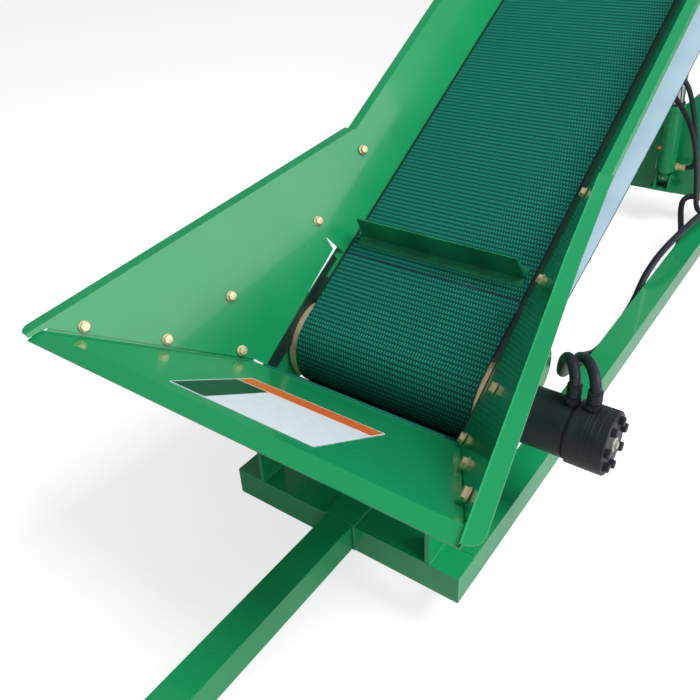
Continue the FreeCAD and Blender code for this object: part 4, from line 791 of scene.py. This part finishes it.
def make_welds():
    chassis, arm = Heap(), Heap()
    seed = 3
    for x in (-44, 44):
        for z in (0, 80):
            chassis.weld([base(x, 1, z), base(x, 79, z)], 3.0, seed)
            seed += 1
        chassis.weld([base(x, 0.5, 0), base(x, 0.5, 80)], 3.0, seed)
        chassis.weld([base(x, 79.5, 0), base(x, 79.5, 80)], 3.0, seed + 1)
        seed += 2
    for side in (-1, 1):
        chassis.weld([base(side * x, y, 80.5) for x, y in
                      ((244, 3), (256, 3), (256, 77), (244, 77), (244, 3))], 3.4, seed)
        seed += 1
        chassis.weld([base(side * 254, 80.5, 80), base(side * 334, 80.5, 80)], 3.2, seed)
        chassis.weld([base(side * 254, 80.5, 1), base(side * 254, 80.5, 79)], 3.2, seed + 1)
        chassis.weld([base(side * 254, 2690, 80), base(side * 254, 2769, 80)], 3.0, seed + 2)
        chassis.weld([base(side * 62, 2697, 80.5), base(side * 252, 2697, 80.5)], 3.4, seed + 3)
        chassis.weld([base(side * 334.5, 2694, 4), base(side * 334.5, 2694, 76)], 3.0, seed + 4)
        arm.weld([boom(side * 284.5, 640, -100), boom(side * 284.5, 640, -6)], 3.0, seed + 5)
        arm.weld([boom(side * 284.5, 2447, -101), boom(side * 284.5, 2447, -6)], 3.0, seed + 6)
        arm.weld([boom(side * 283.5, 2530, -541), boom(side * 283.5, 2584, -541)], 3.0, seed + 7)
        seed += 8
    chassis.to("frame_welds", GREEN, "chassis", "green_paint", 60)
    arm.to("boom_welds", GREEN, "boom", "green_paint", 60)


def make_motor_trim():
    """Cap screws, centre plug, plate seams and mounting bolts of the drive motor."""
    screws, seam = 7, [(0.0, 0.0), (0.5, 0.5), (1.5, 0.5), (2.0, 0.0)]

    def spot(x, radius, angle):
        return base(x, MOTOR_Y + radius * math.cos(math.radians(angle)),
                    MOTOR_Z + radius * math.sin(math.radians(angle)))

    heap = Heap()
    for number in range(screws):
        at = spot(MOTOR_END, 54.0, 360.0 / screws * number + 12)
        heap.turned(at, X_DIR, [(0.0, 11.2), (1.6, 11.4), (2.2, 10.2)], 20)
        heap.turned(at, X_DIR, [(1.5, 10.4), (2.4, 11.0), (9.6, 11.0), (11.4, 9.6)], 6,
                    0.35 * number)
    for x in (488.5, 495.5, 505.5, 519.5):
        heap.turned(base(x, MOTOR_Y, MOTOR_Z), X_DIR,
                    [(along, MOTOR_RADIUS + rise) for along, rise in seam], 72)
    heap.turned(base(468, MOTOR_Y, MOTOR_Z), X_DIR,
                [(0.0, 74.0), (0.3, 74.3), (0.9, 74.3), (1.2, 74.0)], 72)
    plug_angle = math.radians(250)
    heap.turned(spot(330, 67.0, 250), Vector((0, math.cos(plug_angle), math.sin(plug_angle))),
                [(0.0, 12.0), (3.0, 12.0), (4.0, 10.8)], 24)
    heap.to("motor_screws", BLACK, "boom", "motor_black", 30)
    plug = Heap()
    plug.turned(base(MOTOR_END, MOTOR_Y, MOTOR_Z), X_DIR,
                [(0.0, 17.0), (4.0, 17.0), (5.0, 16.2), (5.2, 12.0)], 28)
    plug.nut(base(547.4, MOTOR_Y, MOTOR_Z), X_DIR, 17.0, 6.0, 0.2)
    plug.to("motor_plug", ZINC, "boom", "zinc", 30)
    bolts = Heap()
    for angle in (50.0, 140.0, 230.0, 320.0):
        bolts.bolt(spot(303.6, 80.0, angle), X_DIR, 17.0, 7.0, 10.0, 0.2 + angle)
        bolts.nut(spot(291.6, 80.0, angle) - X_DIR * 0.012, X_DIR, 17.0, 9.0, 0.5)
    bolts.to("motor_bolts", GOLD, "boom", "zinc", 30)


# ---------------------------------------------------------------- wheels, lift, valve, jack
def make_tyre(side, body):
    """A tyre with rim ribs, sidewall steps, tread grooves and notched shoulders."""
    half = [(44, 105), (44.5, 113), (47, 118), (52, 125), (52.6, 127), (53.8, 127.6), (57, 137),
            (60.2, 150), (61, 154), (61, 158), (60.2, 159.5), (60.4, 167), (60, 177), (57, 189),
            (53, 195), (43, 199.6), (37, 200.6), (36, 192.6), (30, 192.6), (29, 201.2), (13, 202.4),
            (12, 194), (6, 194), (5, 202.8)]
    profile = [(-x, r) for x, r in half] + [(x, r) for x, r in reversed(half)]
    profile += [(24, 105.4), (20, 129), (-20, 129), (-24, 105.4)]
    mesh = bmesh.new()
    steps = 168
    centre = base(side * WHEEL_X, AXLE_Y, AXLE_Z)
    rings = []
    for i in range(steps):
        angle = 2 * math.pi * i / steps
        out = Vector((0, math.cos(angle), math.sin(angle)))
        ring = []
        for x, r in profile:
            if 36.5 < abs(x) < 58 and r > 188 and i % 6 in (0, 1):
                r -= 6.0
            elif 12.5 < abs(x) < 29.5 and r > 200 and (i + 3) % 6 == 0:
                r -= 5.0
            elif abs(x) < 5.5 and i % 6 == 0 and r > 200:
                r -= 3.5
            ring.append(mesh.verts.new(centre + X_DIR * (x / 1000.0) + out * (r / 1000.0)))
        rings.append(ring)
    count = len(profile)
    for i in range(steps):
        one, two = rings[i], rings[(i + 1) % steps]
        for k in range(count):
            j = (k + 1) % count
            mesh.faces.new((one[k], one[j], two[j], two[k]))
    name = "left" if side < 0 else "right"
    made = add_object("tread_" + name, to_mesh("tread_" + name, mesh), TYRE, body, 28)
    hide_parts("tyre_" + name)


def make_wheel_trim(side, body):
    name = "left" if side < 0 else "right"
    out = X_DIR * side
    bolts, cap, stem = Heap(), Heap(), Heap()
    for number in range(5):
        angle = 2 * math.pi * number / 5 + 0.3
        at = base(side * (WHEEL_X + 12.0), AXLE_Y + 66 * math.cos(angle),
                  AXLE_Z + 66 * math.sin(angle))
        bolts.turned(at, out, [(0.0, 10.5), (2.0, 10.0), (2.2, 8.6)], 20)
        bolts.nut(at + out * 0.0015, out, 16.0, 8.5, angle)
    bolts.to("rim_bolts_" + name, ZINC, body, "zinc", 30)
    cap.turned(base(side * (WHEEL_X + 35.6), AXLE_Y, AXLE_Z), out,
               [(0.0, 31.0), (3.0, 31.0), (4.0, 29.0), (5.0, 27.5), (15.0, 26.0), (17.5, 23.5),
                (18.4, 18.0)], 40)
    cap.to("hub_cap_" + name, IRON, body, "cast_black", 25)
    stem.turned(base(side * (WHEEL_X + 11.5), AXLE_Y - 88, AXLE_Z + 12), out,
                [(0.0, 6.0), (6.0, 4.6), (20.0, 3.8), (20.5, 4.6), (28.0, 4.4), (29.0, 3.0)], 16)
    stem.to("valve_stem_" + name, GRIP, body, "hose", 30)


LIFT_AXIS = (base(*LIFT_EYE) - base(*LIFT_FOOT)).normalized()


def make_lift_trim():
    foot = base(*LIFT_FOOT)
    for name, body, at, outer, inner, material in (
            ("gland_barrel", "lift_barrel", 366.0, 45.0, 37.7, IRON),
            ("gland_one", "lift_stage_one", 554.1, 37.6, 30.3, ZINC),
            ("gland_two", "lift_stage_two", 742.2, 30.2, 22.9, ZINC)):
        ring = Heap()
        ring.hoop(foot + LIFT_AXIS * (at / 1000.0), LIFT_AXIS,
                  [(-0.5, outer - 0.6), (-0.5, inner + 0.2), (4.0, inner + 0.2), (5.5, inner + 1.6),
                   (5.5, outer - 2.4), (4.0, outer - 0.6)])
        ring.to(name, material, body, "zinc" if material is ZINC else "cast_black", 30)
    band = Heap()
    band.hoop(foot + LIFT_AXIS * 0.338, LIFT_AXIS,
              [(0.0, 44.6), (0.0, 47.4), (2.0, 49.0), (20.0, 49.0), (22.0, 47.4), (22.0, 44.6)])
    band.to("barrel_collar", GREEN, "lift_barrel", "green_paint", 30)
    nut = Heap()
    nut.nut(base(44.8, *LIFT[0][1:]), X_DIR, 32.0, 9.0, 0.3)
    nut.to("barrel_port_nut", GOLD, "lift_barrel", "zinc", 30)
    nipple = Heap()
    nipple.turned(foot - Vector((0, 0.027, 0)), Vector((0, -1, 0.2)),
                  [(-2.0, 5.0), (4.0, 5.0), (4.4, 3.4), (10.0, 3.4), (11.0, 4.2), (13.0, 3.0)], 14)
    nipple.to("grease_nipple", GOLD, "lift_barrel", "zinc", 30)
    plug = Heap()
    side = foot + LIFT_AXIS * 0.150 + X_DIR * -0.030 + Vector((0, -0.0325, 0.003))
    plug_out = Vector((-0.68, -0.73, -0.08))
    plug.turned(side, plug_out, [(-1.0, 9.0), (5.0, 9.0), (6.0, 8.0)], 20)
    plug.turned(side, plug_out, [(5.5, 7.4), (12.0, 7.0), (13.0, 5.6)], 6)
    plug.to("barrel_plug", ORANGE, "lift_barrel", "cast_black", 30)


def make_valve_trim():
    forward = Vector((0, -1, 0))
    nuts = Heap()
    for x, z in ((278, 110), (310, 144)):
        nuts.nut(base(x, 2320.5, z), forward, 34.0, 9.0, 0.2)
        nuts.nut(base(x, 2306.0, z), forward, 30.0, 8.0, 0.5)
    nuts.nut(base(262.5, 2416, 110), -X_DIR, 34.0, 9.0, 0.2)
    nuts.to("valve_nuts", GOLD, "chassis", "zinc", 30)
    trim = Heap()
    trim.turned(base(294, 2380, 159.5), Z_DIR,
                [(0.0, 17.0), (3.0, 17.0), (6.0, 15.0), (10.0, 16.0), (14.0, 13.0), (18.0, 14.0),
                 (22.0, 10.5), (26.0, 8.0), (27.0, 6.0)], 28)
    trim.block(base(294, 2446, 128), X_DIR, Z_DIR, (40, 40, 14), 3.0)
    trim.to("valve_boot", GRIP, "chassis", "hose", 30)
    bolts = Heap()
    for y in (2334, 2426):
        for x in (272, 316):
            bolts.turned(base(x, y, 159.6), Z_DIR, [(0.0, 6.5), (6.0, 6.5), (7.0, 5.8)], 20)
    bolts.turned(base(294, 2320.4, 132), forward, [(0.0, 8.0), (3.0, 8.0), (3.4, 6.0)], 6)
    bolts.to("valve_screws", ZINC, "chassis", "zinc", 30)


def make_jack_trim():
    """The grip on the parking jack's crank."""
    grip = Heap()
    at = base(190, -946, 362)
    grip.turned(at + Vector((0, -0.020, 0)), Vector((0, -1, 0)),
                [(0.0, 12.2), (1.0, 14.0), (8.0, 14.6)]
                + [(12.0 + 8 * i + d, 14.4 - 1.2 * (d > 0)) for i in range(6) for d in (0.0, 3.0)]
                + [(62.0, 14.6), (68.0, 13.4), (70.5, 11.0)], 28)
    grip.to("crank_grip", GRIP, "chassis", "hose", 30)


for wheel_side, wheel_body in ((-1, "wheel_left"), (1, "wheel_right")):
    make_tyre(wheel_side, wheel_body)
    make_wheel_trim(wheel_side, wheel_body)
make_wing_bolts()
make_welds()
make_motor_trim()
make_lift_trim()
make_valve_trim()
make_jack_trim()


# ---------------------------------------------------------------- sign plate
def make_sign():
    """A blank plate on the hopper floor: white, with an orange band and a green block."""
    rear, front = Vector(boom(0, 99.8, 42.8)), Vector(boom(0, -115.2, 419.8))
    slope = (front - rear).normalized()
    out = X_DIR.cross(slope)
    if out.z < 0:
        out = -out
    start = base(0, -66, 0)
    lift = rear + slope * ((start.y - rear.y) / slope.y)

    def spot(x, s, up):
        return lift + X_DIR * (x / 1000.0) + slope * (s / 1000.0) + out * (up / 1000.0)

    def panel(x0, x1, s0, s1, low, high, radius=6.0):
        corners = []
        for cx, cy, turn in ((x1 - radius, s1 - radius, 0), (x0 + radius, s1 - radius, 90),
                             (x0 + radius, s0 + radius, 180),
                             (x1 - radius, s0 + radius, 270)):
            for k in range(5):
                angle = math.radians(turn + 22.5 * k)
                corners.append((cx + radius * math.cos(angle), cy + radius * math.sin(angle)))
        heap = Heap()
        heap.add_rings([[spot(x, s, low) for x, s in corners],
                        [spot(x, s, high) for x, s in corners]])
        return heap
    panel(-159, 197, 0, 248, 0.3, 1.0).to("sign_plate", WHITE, "boom", None, 30)
    panel(-155, 193, 4, 52, 1.0, 1.3, 3.0).to("sign_band", ORANGE, "boom", None, 30)
    panel(-155, -66, 56, 244, 1.0, 1.3, 3.0).to("sign_block", SIGN_GREEN, "boom", None, 30)


make_sign()


# ---------------------------------------------------------------- floor, light
def make_stage():
    mesh = bpy.data.meshes.new("floor")
    size = 30.0
    mesh.from_pydata([(-size, -size, 0), (size, -size, 0), (size, size, 0), (-size, size, 0)], [],
                     [(0, 1, 2, 3)])
    shade = Shade("floor")
    shade.set(Base_Color=(0.6, 0.6, 0.6, 1.0), Roughness=0.95, Specular_IOR_Level=0.1)
    shade.shader.inputs["Emission Color"].default_value = (1.0, 1.0, 1.0, 1.0)
    ray = shade.node("ShaderNodeLightPath")
    lift = shade.math("MULTIPLY", ray.outputs["Is Camera Ray"], 0.66)
    shade.link(lift, shade.shader.inputs["Emission Strength"])
    mesh.materials.append(shade.material)
    floor = bpy.data.objects.new("floor", mesh)
    bpy.context.scene.collection.objects.link(floor)
    floor.location.z = -0.001
    world = bpy.data.worlds.new("studio")
    bpy.context.scene.world = world
    world.use_nodes = True
    tree = world.node_tree
    sky = tree.nodes["Background"]
    coords = tree.nodes.new("ShaderNodeTexCoord")
    parts = tree.nodes.new("ShaderNodeSeparateXYZ")
    tree.links.new(coords.outputs["Generated"], parts.inputs["Vector"])

    def spread(axis, low, high, start, end):
        """A strength that runs from start to end along one axis of the sky's direction."""
        made = tree.nodes.new("ShaderNodeMapRange")
        for name, value in (("From Min", low), ("From Max", high), ("To Min", start),
                            ("To Max", end)):
            made.inputs[name].default_value = value
        tree.links.new(parts.outputs[axis], made.inputs["Value"])
        return made.outputs["Result"]

    side = spread("X", -0.4, 0.9, 0.22, 0.60)
    front = spread("Y", -0.7, 0.5, 1.25, 0.85)
    both = tree.nodes.new("ShaderNodeMath")
    both.operation = "MULTIPLY"
    tree.links.new(side, both.inputs[0])
    tree.links.new(front, both.inputs[1])
    ray = tree.nodes.new("ShaderNodeLightPath")
    seen = tree.nodes.new("ShaderNodeMix")
    seen.inputs[3].default_value = 1.0
    tree.links.new(ray.outputs["Is Camera Ray"], seen.inputs[0])
    tree.links.new(both.outputs[0], seen.inputs[2])
    tree.links.new(seen.outputs[0], sky.inputs["Strength"])
    sky.inputs["Color"].default_value = (1.0, 1.0, 1.0, 1.0)


def area(name, at, aim, size, power, mirrored=True):
    data = bpy.data.lights.new(name, "AREA")
    data.shape = "RECTANGLE"
    data.size, data.size_y = size
    data.energy = power
    lamp = bpy.data.objects.new(name, data)
    bpy.context.scene.collection.objects.link(lamp)
    lamp.location = at
    lamp.visible_glossy = mirrored
    lamp.rotation_euler = (Vector(aim) - Vector(at)).to_track_quat("-Z", "Y").to_euler()


make_stage()
area("key", (3.1, -1.2, 5.9), (0.0, -1.0, 0.6), (3.0, 3.0), 330.0, False)
area("side", (5.2, -0.6, 2.6), (0.0, -0.8, 0.8), (5.0, 3.0), 88.0)
bpy.context.scene.view_settings.view_transform = "Standard"
